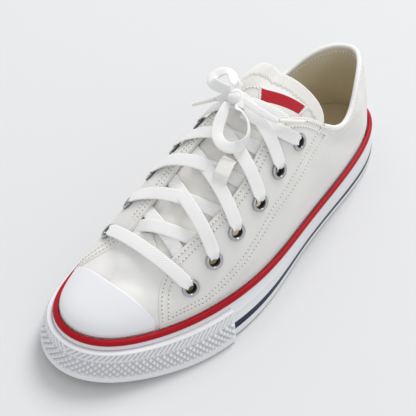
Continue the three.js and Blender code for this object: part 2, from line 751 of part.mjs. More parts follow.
// ---------------------------------------------------------------- laces
// A flat band over the instep between two stations, each an x and a share across. The lifts are
// its heights over the skin at even steps from one end to the other.
function flatBand(from, to, width, thickness, lifts) {
  const steps = lifts.length - 1;
  const shell = new Shell();
  const stations = lifts.map((lift, k) => {
    const share = k / steps;
    const x = from.x + (to.x - from.x) * share;
    const across = from.across + (to.across - from.across) * share;
    return instep(x, across, BAND_SHARE, lift);
  });
  const rows = stations.map((station, k) => {
    const before = stations[Math.max(k - 1, 0)].point;
    const after = stations[Math.min(k + 1, steps)].point;
    const sideways = after.clone().sub(before).cross(station.normal).setLength(width / 2);
    const up = station.normal.clone().setLength(thickness / 2);
    return [[1, -1], [1, 1], [-1, 1], [-1, -1]].map(([a, b]) => shell.point(
      station.point.clone().addScaledVector(sideways, a).addScaledVector(up, b),
    ));
  });
  for (let k = 0; k < steps; k += 1) {
    shell.band(rows[k], rows[k + 1], true);
  }
  shell.quad(rows[0][3], rows[0][2], rows[0][1], rows[0][0]);
  shell.quad(rows[steps][0], rows[steps][1], rows[steps][2], rows[steps][3]);
  return shell.geometry();
}

function laceArm(from, to, lifts) {
  return flatBand(from, to, LACE_WIDTH, LACE_THICKNESS, lifts);
}

function eyeletStation(pair, side) {
  const row = EYELETS[pair];
  const spot = side > 0 ? lastPoint(row.angleOut, row.vOut) : lastPoint(-row.angleIn, row.vIn);
  return { x: spot.x, across: side * (1 - (side > 0 ? row.vOut : row.vIn)) / (1 - BAND_SHARE) };
}

// The place where a lace goes under the throat's edge, a way in front of a pair of eyelets.
function edgeStation(pair, side, ahead) {
  const { x } = eyeletStation(pair, side);
  return { x: x + ahead, across: side > 0 ? LACE_EDGE_OUT : -LACE_EDGE_IN };
}

// Two laces that cross each other, one from each side.
function makePair(route, lifts) {
  const [outer, inner] = [1, -1].map(side => toSolid(laceArm(...route(side), lifts)));
  return toGeometry(outer.add(inner));
}

function makeBar() {
  return laceArm(eyeletStation(0, 1), eyeletStation(0, -1), BAR_LIFTS);
}

// The first crossing lies wholly inside the throat's edges, under the bar.
function makeFirstCrossing() {
  const route = side => [
    edgeStation(0, side, -FIRST_CROSS_BEHIND), edgeStation(1, -side, LACE_EDGE_AHEAD),
  ];
  return makePair(route, FIRST_CROSS_LIFTS);
}

// Two laces that leave a pair of eyelets and cross to go under the throat's edge at the next pair.
function makeCrossing(pair) {
  const route = side => [eyeletStation(pair, side), edgeStation(pair + 1, -side, LACE_EDGE_AHEAD)];
  return makePair(route, CROSS_LIFTS);
}

// A lace from one of the top eyelets up to the knot's side, over the last crossing.
function makeTopLace(side) {
  const end = side > 0 ? TOP_END_OUT : TOP_END_IN;
  return laceArm(eyeletStation(EYELETS.length - 1, side), end, TOP_LIFTS);
}

// The folded tape on the tongue that the third crossing runs through.
function makeKeeper() {
  const back = { x: 11.5, across: 0.22 };
  const front = { x: 33.2, across: 0.34 };
  return flatBand(back, front, KEEPER_WIDTH, KEEPER_THICKNESS, KEEPER_LIFTS);
}

function makeKnot() {
  const [x, y, z] = KNOT_CENTRE;
  return new THREE.SphereGeometry(1, 10, 7).scale(...KNOT_HALF_SIZE).translate(x, y, z);
}

// A plain cord with eight sides along a smooth curve through its route.
function makeCord(route, radius, steps) {
  const path = new THREE.CatmullRomCurve3(route.map(([x, y, z]) => new THREE.Vector3(x, y, z)));
  const section = new THREE.Shape();
  for (let k = 0; k < 8; k += 1) {
    const turn = k * Math.PI / 4;
    const corner = [radius * Math.cos(turn), radius * Math.sin(turn)];
    if (k) {
      section.lineTo(...corner);
    } else {
      section.moveTo(...corner);
    }
  }
  return new THREE.ExtrudeGeometry(section, { steps, extrudePath: path, bevelEnabled: false });
}

// ---------------------------------------------------------------- assembly
const CANVAS = new THREE.MeshStandardMaterial({ color: 0xf1eee8, roughness: 0.95, metalness: 0 });
const TONGUE_CANVAS = new THREE.MeshStandardMaterial({ color: 0xf3f1ec, roughness: 0.95, metalness: 0 });
const CAP_RUBBER = new THREE.MeshStandardMaterial({ color: 0xeceef1, roughness: 0.45, metalness: 0 });
const FOXING_RUBBER = new THREE.MeshStandardMaterial({ color: 0xe8eaee, roughness: 0.55, metalness: 0 });
const BUMPER_RUBBER = new THREE.MeshStandardMaterial({ color: 0xdfe1e6, roughness: 0.6, metalness: 0 });
const STRIPE_RUBBER = new THREE.MeshStandardMaterial({ color: 0xb3101f, roughness: 0.5, metalness: 0 });
const SOLE_RUBBER = new THREE.MeshStandardMaterial({ color: 0xa9815a, roughness: 0.8, metalness: 0 });
const LINING = new THREE.MeshStandardMaterial({ color: 0xc9bda4, roughness: 0.95, metalness: 0 });
const STEEL = new THREE.MeshStandardMaterial({ color: 0xc4c7ca, roughness: 0.25, metalness: 1 });
const LACE = new THREE.MeshStandardMaterial({ color: 0xf6f6f4, roughness: 0.9, metalness: 0 });
const AGLET = new THREE.MeshStandardMaterial({ color: 0xf2efe6, roughness: 0.35, metalness: 0 });

const shoe = new THREE.Group();

function addPiece(name, geometry, material) {
  const mesh = new THREE.Mesh(geometry, material);
  mesh.name = name;
  shoe.add(mesh);
}

addPiece('outsole', makeOutsole(), SOLE_RUBBER);
addPiece('upper', makeUpper(), CANVAS);
addPiece('insole', makeInsole(), LINING);
addPiece('tongue', makeTongue(), TONGUE_CANVAS);
addPiece('foxing', makeFoxing(), FOXING_RUBBER);
addPiece('foxing_stripe', makeStripe(), STRIPE_RUBBER);
addPiece('toe_bumper', makeBumper(), BUMPER_RUBBER);
addPiece('toe_cap', makeToeCap(), CAP_RUBBER);
eyeletPlaces().forEach((place, k) => {
  const side = k % 2 ? 'inner' : 'outer';
  addPiece(`eyelet_${side}_${Math.floor(k / 2) + 1}`, placed(eyelet(), place), STEEL);
});
addPiece('lace_bar', makeBar(), LACE);
addPiece('lace_crossing_1', makeFirstCrossing(), LACE);
for (let pair = 1; pair < EYELETS.length - 1; pair += 1) {
  addPiece(`lace_crossing_${pair + 1}`, makeCrossing(pair), LACE);
}
addPiece('lace_top_outer', makeTopLace(1), LACE);
addPiece('lace_top_inner', makeTopLace(-1), LACE);
addPiece('lace_keeper', makeKeeper(), TONGUE_CANVAS);
addPiece('lace_knot', makeKnot(), LACE);
addPiece('lace_loop_front', makeCord(FRONT_LOOP, LOOP_RADIUS, 18), LACE);
addPiece('lace_loop_back', makeCord(BACK_LOOP, LOOP_RADIUS, 16), LACE);
addPiece('lace_end_outer', makeCord(OUTER_END, LOOP_RADIUS, 7), LACE);
addPiece('lace_end_inner', makeCord(INNER_END, LOOP_RADIUS, 4), LACE);
addPiece('aglet_outer', makeCord(OUTER_AGLET, AGLET_RADIUS, 1), AGLET);
addPiece('aglet_inner', makeCord(INNER_AGLET, AGLET_RADIUS, 1), AGLET);

const box = new THREE.Box3().setFromObject(shoe);
const middle = box.getCenter(new THREE.Vector3());
shoe.position.set(-middle.x, -middle.y, -box.min.z);

const part = new THREE.Group();
part.add(shoe);

export default part;
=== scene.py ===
"""Low canvas sneaker, left shoe: camera, light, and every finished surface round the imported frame.

Shapes are worked out in millimetres on the shoe's own last, with +X to the toe, +Y to the outer side
and +Z up, and are turned to metres in the frame when a mesh is made.
"""
import math

import bpy
import numpy as np
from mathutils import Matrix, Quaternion, Vector


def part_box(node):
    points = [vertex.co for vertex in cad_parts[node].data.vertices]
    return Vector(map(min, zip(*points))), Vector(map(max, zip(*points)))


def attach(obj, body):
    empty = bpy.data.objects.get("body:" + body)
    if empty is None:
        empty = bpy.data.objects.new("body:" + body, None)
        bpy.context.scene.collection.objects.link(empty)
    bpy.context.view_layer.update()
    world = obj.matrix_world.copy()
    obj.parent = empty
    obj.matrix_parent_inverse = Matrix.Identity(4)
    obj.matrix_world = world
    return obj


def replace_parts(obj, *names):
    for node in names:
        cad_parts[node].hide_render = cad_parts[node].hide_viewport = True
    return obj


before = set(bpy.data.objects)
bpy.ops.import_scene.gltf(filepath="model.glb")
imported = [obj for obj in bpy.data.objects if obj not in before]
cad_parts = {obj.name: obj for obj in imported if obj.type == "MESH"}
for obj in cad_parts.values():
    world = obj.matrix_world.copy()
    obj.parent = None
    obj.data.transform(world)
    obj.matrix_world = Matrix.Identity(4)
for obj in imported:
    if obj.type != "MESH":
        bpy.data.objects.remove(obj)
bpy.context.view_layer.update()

MM = 0.001

# ---------------------------------------------------------------- driving sizes, as in the solids
SOLE_LENGTH = 276
WELT_LENGTH = 257
WELT_CENTRE_X = -2.35
WELT_HEIGHT = 26.7
WELT_TOE_RISE = 6.4
WELT_RISE_START = 60
RIDGE_REACH = 98
TOE_SPRING = 7
TOE_SPRING_START = 70
SPRING_RUN = 70
GAP = 0.3
WALL = 2.0
UPPER_INSET = 2.8
FOXING_THICKNESS = 3.0
FOXING_BULGE = 0.7
STRIPE_HEIGHT = 3.6
BUMPER_THICKNESS = 1.7
BUMPER_END_ANGLE = 66
BUMPER_FADE_ANGLE = 40
TONGUE_FRONT_X = 72
TONGUE_BACK_X = -40
TONGUE_DRAPE = 22
TONGUE_NECK = 0.36
TONGUE_NECK_START = 0.6
TONGUE_NECK_END = 0.79
TONGUE_INNER_END = 0.62
TONGUE_FREE_SHARE = 0.8
TONGUE_LIFT = 12
TONGUE_FRONT_SHARE = 0.7
TONGUE_BACK_SHARE = 0.44
TONGUE_OFFSET = -3.5
TONGUE_THICKNESS = 2.6
BAND_SHARE = 0.55
HEEL_STRIP_ANGLE = 166

# One row for every 20 degrees round the shoe, toe to heel. For the outer and the inner side: the
# sole's edge and the foxing's top edge; then the ridge line; then rise and lean of the wall's first
# control arm and reach of its second; and the share v where the canvas ends, outer and inner.
COLUMNS = ("sole_out", "sole_in", "welt_out", "welt_in", "ridge", "rise", "lean", "reach",
           "rim_out", "rim_in")
SECTIONS = np.array([
    (-8.0, -8.0, -8.7, -8.7, -7.0, 7.0, 0.0, 0.62, 0.80, 0.80),
    (14.8, -30.5, 12.0, -27.7, -6.5, 7.0, 0.0, 0.62, 0.80, 0.80),
    (34.5, -42.8, 27.0, -36.6, -4.5, 8.6, 0.2, 0.69, 0.69, 0.80),
    (53.0, -48.0, 40.5, -42.8, -2.0, 13.5, 0.4, 0.78, 0.76, 0.86),
    (54.8, -45.5, 47.1, -42.8, 0.0, 18.7, 0.5, 0.88, 0.71, 0.82),
    (40.8, -36.0, 40.3, -35.0, 0.0, 26.0, 0.4, 0.90, 0.91, 0.90),
    (37.1, -33.0, 35.8, -31.4, 0.0, 28.6, 0.0, 0.74, 0.23, 0.30),
    (32.8, -30.8, 29.3, -29.6, 0.0, 30.3, -0.8, 0.60, 0.47, 0.47),
    (17.1, -18.6, 18.4, -19.4, 0.0, 31.5, -1.1, 0.50, 0.50, 0.50),
    (0.6, 0.6, 1.3, 1.3, 0.0, 32.2, -1.2, 0.48, 0.49, 0.49),
])
SECTION = dict(zip(COLUMNS, SECTIONS.T))

# Heights along the shoe: first x, step in x, and the heights from the toe backwards.
RIDGE_LINE = (120, -24, (40.2, 48.4, 56.5, 70.3, 83.9, 95.8, 109.5, 115.8, 116.1, 113.9, 113.1))
FOOTBED = (130, -52, (13.5, 10.5, 10.5, 13.0, 15.0, 15.5))

# Eyelets, one row a pair from the toe upwards: angle and share v, outer side then inner side.
EYELETS = (
    (55.1, 0.39, 51.5, 0.53),
    (64.1, 0.48, 62.8, 0.54),
    (72.9, 0.54, 73.2, 0.54),
    (82.3, 0.56, 82.1, 0.57),
    (91.4, 0.59, 90.8, 0.59),
    (101.1, 0.58, 99.5, 0.60),
)

# The bow's routes, from the knot outwards, as its solids have them.
KNOT_CENTRE = np.array([-9.5, -5.2, 110.0])
FRONT_LOOP = (
    (-4.4, -7.2, 108.0), (-1.6, -6.5, 106.7), (1.6, -5.5, 105.2), (4.8, -4.6, 103.3),
    (8.2, -3.3, 101.3), (11.4, -1.1, 99.4), (13.5, 2.5, 98.1), (14.0, 6.4, 97.4), (12.7, 10.1, 97.4),
    (9.7, 12.9, 98.3), (6.2, 14.0, 99.8), (2.5, 13.4, 101.7), (-0.7, 11.2, 103.7), (-2.9, 8.1, 105.8),
    (-4.0, 4.1, 107.6), (-4.6, 0.4, 108.9),
)
BACK_LOOP = (
    (-10.6, -10.8, 111.6), (-10.2, -14.0, 110.4), (-10.2, -17.6, 109.2), (-10.8, -21.8, 108.0),
    (-12.2, -25.5, 107.2), (-15.1, -27.1, 107.7), (-18.1, -26.6, 108.7), (-20.2, -24.3, 110.0),
    (-20.9, -21.2, 111.3), (-20.2, -18.1, 112.3), (-18.6, -15.5, 113.0), (-16.6, -13.3, 113.1),
    (-15.4, -11.1, 113.4), (-14.5, -9.4, 113.4), (-14.7, -7.8, 113.5),
)
OUTER_END = (
    (-9.2, 0.2, 110.8), (-9.3, 3.2, 110.4), (-9.9, 7.0, 109.2), (-11.0, 11.5, 107.6), (-12.5, 16.0, 106.0),
    (-14.0, 19.6, 104.8),
)
OUTER_AGLET = ((-14.9, 20.4, 104.4), (-21.4, 24.4, 101.6), (-28.6, 28.4, 98.4))
INNER_END = ((-9.8, -10.6, 107.6), (-9.2, -13.0, 105.6), (-8.6, -15.6, 103.4), (-8.2, -18.0, 101.4))
INNER_AGLET = ((-7.8, -19.0, 100.9), (-4.6, -24.2, 98.0), (-1.0, -30.0, 94.8))

# The label's corners on the tongue, the share where the tongue's stitch row runs, the lace's width and
# its turn down into an eyelet, and the share across the instep of the throat's edge on each side.
LABEL_CORNERS = ((-27.0, -3.5, 107.5), (-43.5, 21.5, 94.0), (-23.5, 22.0, 93.2), (-9.0, -2.0, 99.5))
TONGUE_ROW_SHARE = 0.865
LACE_WIDTH = 7.6
DIVE = ((0.2, -3.2), (0.4, -1.5), (0.9, 0.2), (1.8, 1.5), (3.0, 2.2), (4.5, 2.5), (7.5, 2.4))
EDGE_ACROSS = {1: 0.62, -1: 0.52}

# The direction towards which the bow's flat faces turn.
VIEW_WAY = np.array([0.463, 0.460, 0.757])

# The camera's place and aim in the last's millimetres, and its roll in degrees.
CAMERA_PLACE = (304.7, 245.2, 484.3)
CAMERA_AIM = (8.7, -9.5, 28.8)
CAMERA_ROLL = 0.5

# Colours, as linear red, green and blue.
CANVAS_WHITE = (0.85, 0.84, 0.815)
TONGUE_WHITE = (0.90, 0.885, 0.845)
BINDING_WHITE = (0.88, 0.875, 0.85)
WHITE_RUBBER = (0.80, 0.805, 0.83)
CAP_WHITE = (0.83, 0.835, 0.86)
LACE_WHITE = (0.90, 0.898, 0.885)
THREAD_WHITE = (0.86, 0.845, 0.80)
LINING_TAN = (0.88, 0.80, 0.62)
INSOLE_TAN = (0.80, 0.70, 0.49)
RED = (0.40, 0.004, 0.012)
NAVY = (0.011, 0.022, 0.05)
STEEL = (0.47, 0.475, 0.485)

KNOT_LOW, KNOT_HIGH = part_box("lace_knot")
ORIGIN = np.array((KNOT_LOW + KNOT_HIGH) / 2) - KNOT_CENTRE * MM


# ---------------------------------------------------------------- numbers and curves
def smooth_step(low, high, value):
    """A smooth step: 0 below low, 1 above high, 3w^2 - 2w^3 between."""
    way = np.clip((value - low) / (high - low), 0, 1)
    return way * way * (3 - 2 * way)


def spline_weights(t):
    """The four weights of a uniform cubic B-spline at t between 0 and 1."""
    s = 1 - t
    return (s**3 / 6, (3 * t**3 - 6 * t**2 + 4) / 6, (-3 * t**3 + 3 * t**2 + 3 * t + 1) / 6, t**3 / 6)


def ring(outer, inner, degrees):
    """A closed cubic B-spline through the section rows: out along one column, back along the other."""
    values = np.concatenate([SECTION[outer], SECTION[inner][-2:0:-1]])
    place = (np.asarray(degrees, float) / 360 % 1) * len(values)
    first = np.floor(place).astype(int)
    weights = spline_weights(place - first)
    return sum(w * values[(first + k - 1) % len(values)] for k, w in enumerate(weights))


def along(table, x):
    """A cubic B-spline in x through evenly spaced heights, its ends carried on straight."""
    start, step, heights = table
    padded = np.array([2 * heights[0] - heights[1], *heights, 2 * heights[-1] - heights[-2]])
    place = np.clip((np.asarray(x, float) - start) / step, 0, len(heights) - 1 - 1e-4)
    first = np.floor(place).astype(int)
    weights = spline_weights(place - first)
    return sum(w * padded[first + k] for k, w in enumerate(weights))


def unit(vectors):
    """Vectors divided by their own lengths."""
    return vectors / np.maximum(np.linalg.norm(vectors, axis=-1, keepdims=True), 1e-9)


def curve(points, count):
    """A natural-parameter Catmull-Rom curve through points, at count even steps of its length."""
    p = np.array(points, float)
    p = np.vstack([2 * p[0] - p[1], p, 2 * p[-1] - p[-2]])
    t = np.linspace(0, 1, 24, endpoint=False)[:, None]
    pieces = [
        0.5 * (2 * b + (c - a) * t + (2 * a - 5 * b + 4 * c - d) * t**2 + (3 * b - a - 3 * c + d) * t**3)
        for a, b, c, d in zip(p[:-3], p[1:-2], p[2:-1], p[3:])
    ]
    dense = np.vstack([*pieces, p[-2:-1]])
    return even(dense, count)


def even(line, count):
    """The same line at count even steps of its length."""
    step = np.linalg.norm(np.diff(line, axis=0), axis=1)
    way = np.concatenate([[0], np.cumsum(step)])
    at = np.linspace(0, way[-1], count)
    return np.stack([np.interp(at, way, line[:, k]) for k in range(line.shape[1])], axis=1)


def line_length(line):
    """The sum of a line's steps."""
    return float(np.linalg.norm(np.diff(line, axis=0), axis=1).sum())


# ---------------------------------------------------------------- the last
def toe_spring(x):
    """The sole's height over the floor: a parabola from the ball to the toe."""
    return TOE_SPRING * np.clip((x - TOE_SPRING_START) / SPRING_RUN, 0, 1) ** 2


def welt_height(x):
    """The height of the foxing's top edge: level, then a parabola's rise to the toe."""
    return WELT_HEIGHT + WELT_TOE_RISE * np.clip((x - WELT_RISE_START) / SPRING_RUN, 0, 1) ** 2


def bed_height(x):
    """The footbed's height: its own line raised by the toe spring."""
    return along(FOOTBED, x) + toe_spring(x)


def floor_point(degrees):
    """The sole's edge on the floor: half the length times the cosine, and the ring table's side."""
    x = SOLE_LENGTH / 2 * np.cos(np.radians(degrees))
    return np.stack([x, ring("sole_out", "sole_in", degrees), toe_spring(x)], axis=-1)


def welt_point(degrees):
    """The foxing's top edge: a cosine along the shoe and the ring table's side."""
    x = WELT_CENTRE_X + WELT_LENGTH / 2 * np.cos(np.radians(degrees))
    return np.stack([x, ring("welt_out", "welt_in", degrees), welt_height(x)], axis=-1)


def ridge_point(degrees):
    """The instep's ridge at an angle round the shoe."""
    x = WELT_CENTRE_X + RIDGE_REACH * np.cos(np.radians(degrees))
    return np.stack([x, ring("ridge", "ridge", degrees), along(RIDGE_LINE, x)], axis=-1)


def ridge_slope(x):
    """The ridge line's rise over a millimetre along the shoe."""
    return along(RIDGE_LINE, x + 0.5) - along(RIDGE_LINE, x - 0.5)


def away_from_sole(degrees):
    """The level direction square to the sole's edge, pointing away from the shoe."""
    way = floor_point(degrees + 0.5) - floor_point(degrees - 0.5)
    return unit(np.stack([way[..., 1], -way[..., 0], np.zeros_like(way[..., 0])], axis=-1))


def foxing_point(degrees, share, outwards):
    """The foxing's face: a straight line from floor to welt with a parabola's bulge, stepped in
    under the bumper and moved outwards."""
    degrees, share, outwards = np.broadcast_arrays(*map(np.float64, (degrees, share, outwards)))
    from_toe = np.abs((degrees + 180) % 360 - 180)
    covered = 1 - np.clip((from_toe - BUMPER_END_ANGLE) / BUMPER_FADE_ANGLE, 0, 1)
    move = outwards + FOXING_BULGE * 4 * share * (1 - share) - BUMPER_THICKNESS * covered * (1 - share)
    low, high = floor_point(degrees), welt_point(degrees)
    return low + (high - low) * share[..., None] + away_from_sole(degrees) * move[..., None]


def foxing_at(degrees, height, outwards):
    """The foxing's face at a height above the floor."""
    low, high = floor_point(degrees)[..., 2], welt_point(degrees)[..., 2]
    point = foxing_point(degrees, (height - low) / (high - low), outwards)
    point[..., 2] = height
    return point


def bed_edge(degrees, outwards):
    """The footbed's edge, moved outwards from the foxing's face."""
    point = foxing_at(degrees, bed_height(welt_point(degrees)[..., 0]), outwards)
    point[..., 2] = bed_height(point[..., 0])
    return point


def last_point(degrees, v):
    """The last's surface: a cubic Bezier from the welt to the ridge for v from 0 to 1, and a straight
    skirt down to the footbed's edge for v from 0 to -1."""
    degrees, v = np.broadcast_arrays(np.float64(degrees), np.float64(v))
    ridge, welt = ridge_point(degrees), welt_point(degrees)
    level = ridge - welt
    level[..., 2] = 0
    inwards = unit(level)
    welt = welt + inwards * UPPER_INSET
    away = welt - ridge
    away[..., 2] = 0
    low = welt - inwards * ring("lean", "lean", degrees)[..., None]
    low[..., 2] += ring("rise", "rise", degrees)
    reach = ring("reach", "reach", degrees)[..., None]
    high = ridge + away * reach
    high[..., 2] += ridge_slope(ridge[..., 0]) * away[..., 0] * reach[..., 0]
    t = np.clip(v, 0, 1)[..., None]
    wall = (1 - t) ** 3 * welt + 3 * t * (1 - t) ** 2 * low + 3 * t**2 * (1 - t) * high + t**3 * ridge
    foot = bed_edge(degrees, -FOXING_THICKNESS - GAP)
    down = np.clip(-v, 0, 1)[..., None]
    return wall * (1 - down) + foot * down


def skin_normal(degrees, v):
    """The outward direction, from the surface's two tangents, or from the ridge's slope at the top."""
    degrees, v = np.broadcast_arrays(np.float64(degrees), np.float64(v))
    lower = np.minimum(v, 0.99)
    round_ = last_point(degrees + 0.5, lower) - last_point(degrees - 0.5, lower)
    up = last_point(degrees, lower + 0.004) - last_point(degrees, lower - np.where(lower < 0.004, 0, 0.004))
    side = unit(np.cross(round_, up))
    slope = ridge_slope(ridge_point(degrees)[..., 0])
    top = unit(np.stack([-slope, np.zeros_like(slope), np.ones_like(slope)], axis=-1))
    blend = smooth_step(0.9, 0.995, v)[..., None]
    return unit(side * (1 - blend) + top * blend)


def skin(degrees, v, offset):
    """The last's surface moved outwards by an offset."""
    return last_point(degrees, v) + skin_normal(degrees, v) * np.float64(offset)[..., None]


def instep_angle(x, v, side):
    """The angle at which the surface of share v stands at x, by halving the interval 24 times."""
    x, v, side = np.broadcast_arrays(*map(np.float64, (x, v, side)))
    low, high = np.full(x.shape, 1.0), np.full(x.shape, 179.0)
    for _ in range(24):
        middle = (low + high) / 2
        ahead = last_point(side * middle, v)[..., 0] > x
        low, high = np.where(ahead, middle, low), np.where(ahead, high, middle)
    return side * low


def instep(x, across, v_side, offset):
    """A point over the instep from x and a share across, 1 outer, 0 ridge, -1 inner, and its normal."""
    x, across, v_side = np.broadcast_arrays(*map(np.float64, (x, across, v_side)))
    side = np.where(across < 0, -1.0, 1.0)
    v = 1 - np.abs(across) * (1 - v_side)
    degrees = instep_angle(x, v, side)
    normal = skin_normal(degrees, v)
    return last_point(degrees, v) + normal * np.float64(offset)[..., None], normal


def rim(degrees):
    """The share v at which the canvas ends."""
    return ring("rim_out", "rim_in", degrees)


# Soft troughs and ridges of the canvas: start and end as angle and share, then half width and depth
# in millimetres, a trough where the depth is negative.
CREASES = (
    (47, 0.55, 30, 0.78, 7.0, -1.49),
    (44, 0.80, 10, 0.90, 6.0, -1.08),
    (-46, 0.70, -24, 0.88, 7.0, -1.35),
    (36, 0.62, 20, 0.80, 5.0, 0.68),
    (40, 0.30, 37, 0.66, 5.5, -0.9),
    (31, 0.42, 33, 0.66, 5.5, 0.7),
    (50, 0.10, 62, 0.40, 5.0, -0.61),
    (60, 0.04, 74, 0.26, 6.0, 0.61),
    (72, 0.06, 88, 0.34, 7.0, -0.74),
    (88, 0.08, 100, 0.40, 7.0, 0.61),
    (101, 0.10, 112, 0.36, 7.0, -0.74),
    (118, 0.30, 132, 0.12, 8.0, -1.22),
    (124, 0.34, 142, 0.30, 6.0, 0.81),
    (146, 0.36, 152, 0.10, 9.0, -1.08),
    (-58, 0.10, -70, 0.34, 7.0, -0.81),
    (-84, 0.08, -97, 0.36, 7.0, -0.81),
    (-104, 0.12, -118, 0.30, 8.0, -1.08),
    (-126, 0.32, -142, 0.16, 8.0, -1.08),
    (-150, 0.38, -158, 0.12, 9.0, -0.94),
    (78, 0.52, 96, 0.70, 5.0, -0.34),
    (-78, 0.56, -96, 0.74, 5.0, -0.34),
)
HEEL_TUCK = 2.2
MM_PER_DEGREE = 1.9
MM_PER_SHARE = 62


def creases(degrees, v):
    """The sum of bell curves across each crease, by the distance to the crease's line in space, and
    the hollow above the heel's counter."""
    spot = last_point(degrees, v)
    total = np.zeros(spot.shape[:-1])
    for angle_a, v_a, angle_b, v_b, half_width, depth in CREASES:
        line = last_point(np.linspace(angle_a, angle_b, 7), np.linspace(v_a, v_b, 7))
        nearest = np.full(total.shape, np.inf)
        for start, end in zip(line[:-1], line[1:]):
            way = end - start
            share = np.clip((spot - start) @ way / (way @ way), 0, 1)
            nearest = np.minimum(nearest, np.linalg.norm(spot - start - share[..., None] * way, axis=-1))
        total += depth * np.exp(-((nearest / half_width) ** 2))
    from_toe = np.abs((np.float64(degrees) + 180) % 360 - 180)
    return total - HEEL_TUCK * smooth_step(0.12, 0.5, v) * smooth_step(130, 172, from_toe)


def cloth(degrees, v, offset):
    """The skin with the canvas's creases, which die out at the foxing and at the toe cap."""
    calm = smooth_step(-0.02, 0.12, np.float64(v))
    return skin(degrees, v, offset + creases(degrees, v) * calm)


# ---------------------------------------------------------------- meshes
def grid_faces(rows, columns, close_rows=False, close_columns=False, first=0):
    """Four-sided faces between the neighbours of a rows by columns grid of point numbers."""
    number = first + np.arange(rows * columns).reshape(rows, columns)
    if close_rows:
        number = np.vstack([number, number[:1]])
    if close_columns:
        number = np.hstack([number, number[:, :1]])
    corners = (number[:-1, :-1], number[1:, :-1], number[1:, 1:], number[:-1, 1:])
    return np.stack(corners, axis=-1).reshape(-1, 4)


def outward(points, faces):
    """The faces, all turned round if the closed mesh would enclose a negative volume."""
    a, b, c, d = (points[faces[:, k]] for k in range(4))
    volume = (a * np.cross(b, c)).sum() + (a * np.cross(c, d)).sum()
    return faces if volume > 0 else faces[:, ::-1]


def make(name, points, faces, materials, uv=None, kinds=None, turn=True, flat=False):
    """A mesh object from points in the last's millimetres and four-sided faces. A face that names a
    corner twice in a row becomes a triangle. kinds are the faces' material numbers."""
    points = np.asarray(points, float).reshape(-1, 3)
    faces = outward(points, faces) if turn else faces
    keep = faces != np.roll(faces, 1, axis=1)
    sizes = keep.sum(axis=1)
    whole = sizes > 2
    faces, keep, sizes = faces[whole], keep[whole], sizes[whole]
    corners = faces[keep]
    mesh = bpy.data.meshes.new(name)
    mesh.vertices.add(len(points))
    mesh.vertices.foreach_set("co", (points * MM + ORIGIN).astype(np.float32).ravel())
    mesh.loops.add(len(corners))
    mesh.loops.foreach_set("vertex_index", corners.astype(np.int32))
    mesh.polygons.add(len(faces))
    starts = np.concatenate([[0], np.cumsum(sizes)[:-1]])
    mesh.polygons.foreach_set("loop_start", starts.astype(np.int32))
    mesh.polygons.foreach_set("use_smooth", np.full(len(faces), not flat))
    if uv is not None:
        layer = mesh.uv_layers.new(name="cloth")
        spots = np.asarray(uv, float).reshape(-1, 2)[corners]
        layer.uv.foreach_set("vector", spots.astype(np.float32).ravel())
    for material in materials if isinstance(materials, (list, tuple)) else [materials]:
        mesh.materials.append(material)
    if kinds is not None:
        mesh.polygons.foreach_set("material_index", np.asarray(kinds)[whole].astype(np.int32))
    mesh.update(calc_edges=True)
    piece = bpy.data.objects.new(name, mesh)
    bpy.context.scene.collection.objects.link(piece)
    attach(piece, "root")
    return piece


def surface_uv(points):
    """Flat coordinates in millimetres that follow a grid of points: the length along its middle row
    one way and along each column the other way."""
    down = np.linalg.norm(np.diff(points, axis=1), axis=-1)
    down = np.concatenate([np.zeros((len(points), 1)), np.cumsum(down, axis=1)], axis=1)
    middle = points[:, points.shape[1] // 2]
    over = np.concatenate([[0], np.cumsum(np.linalg.norm(np.diff(middle, axis=0), axis=-1))])
    return np.stack([np.broadcast_to(over[:, None], down.shape), down], axis=-1)


def join_points(points, faces):
    """The faces with coincident points named by one number."""
    _, first, same = np.unique(np.round(points, 3), axis=0, return_index=True, return_inverse=True)
    return first[same.ravel()][faces]


def thicken(name, outer, inner, faces, materials, uv=None, inner_kind=0):
    """A closed sheet from its outer and its inner points and the faces they share, with walls along
    every open edge."""
    outer, inner = outer.reshape(-1, 3), inner.reshape(-1, 3)
    count = len(outer)
    faces = join_points(outer, faces)
    faces = faces[(faces[:, 0] != faces[:, 2]) & (faces[:, 1] != faces[:, 3])]
    ends = np.stack([faces, np.roll(faces, -1, axis=1)], axis=-1).reshape(-1, 2)
    ends = ends[ends[:, 0] != ends[:, 1]]
    key = ends[:, 0] * count + ends[:, 1]
    back = ends[:, 1] * count + ends[:, 0]
    open_edges = ends[~np.isin(key, back)]
    start, stop = open_edges.T
    walls = np.stack([stop, start, start + count, stop + count], axis=-1)
    everything = np.concatenate([faces, faces[:, ::-1] + count, walls])
    kinds = np.concatenate([np.zeros(len(faces)), np.full(len(faces), inner_kind), np.zeros(len(walls))])
    points = np.concatenate([outer, inner])
    sign = outward(points, everything)
    spots = None if uv is None else np.concatenate([np.asarray(uv, float).reshape(-1, 2)] * 2)
    return make(name, points, sign, materials, uv=spots, kinds=kinds, turn=False)


def slab(name, outer, inner, materials, close_rows=False, inner_kind=0):
    """A closed sheet between two grids of points."""
    faces = grid_faces(*outer.shape[:2], close_rows)
    return thicken(name, outer, inner, faces, materials, surface_uv(outer), inner_kind)


def sections(line, side, up, half_width, half_height, facets=12, power=2.0):
    """Rings round a line: at each point a superellipse of the given half sizes along side and up."""
    angle = np.linspace(0, 2 * np.pi, facets, endpoint=False) + np.pi / facets
    x = np.sign(np.cos(angle)) * np.abs(np.cos(angle)) ** (2 / power)
    y = np.sign(np.sin(angle)) * np.abs(np.sin(angle)) ** (2 / power)
    wide = np.broadcast_to(half_width, len(line))[:, None, None] * x[None, :, None]
    high = np.broadcast_to(half_height, len(line))[:, None, None] * y[None, :, None]
    return line[:, None] + side[:, None] * wide + up[:, None] * high


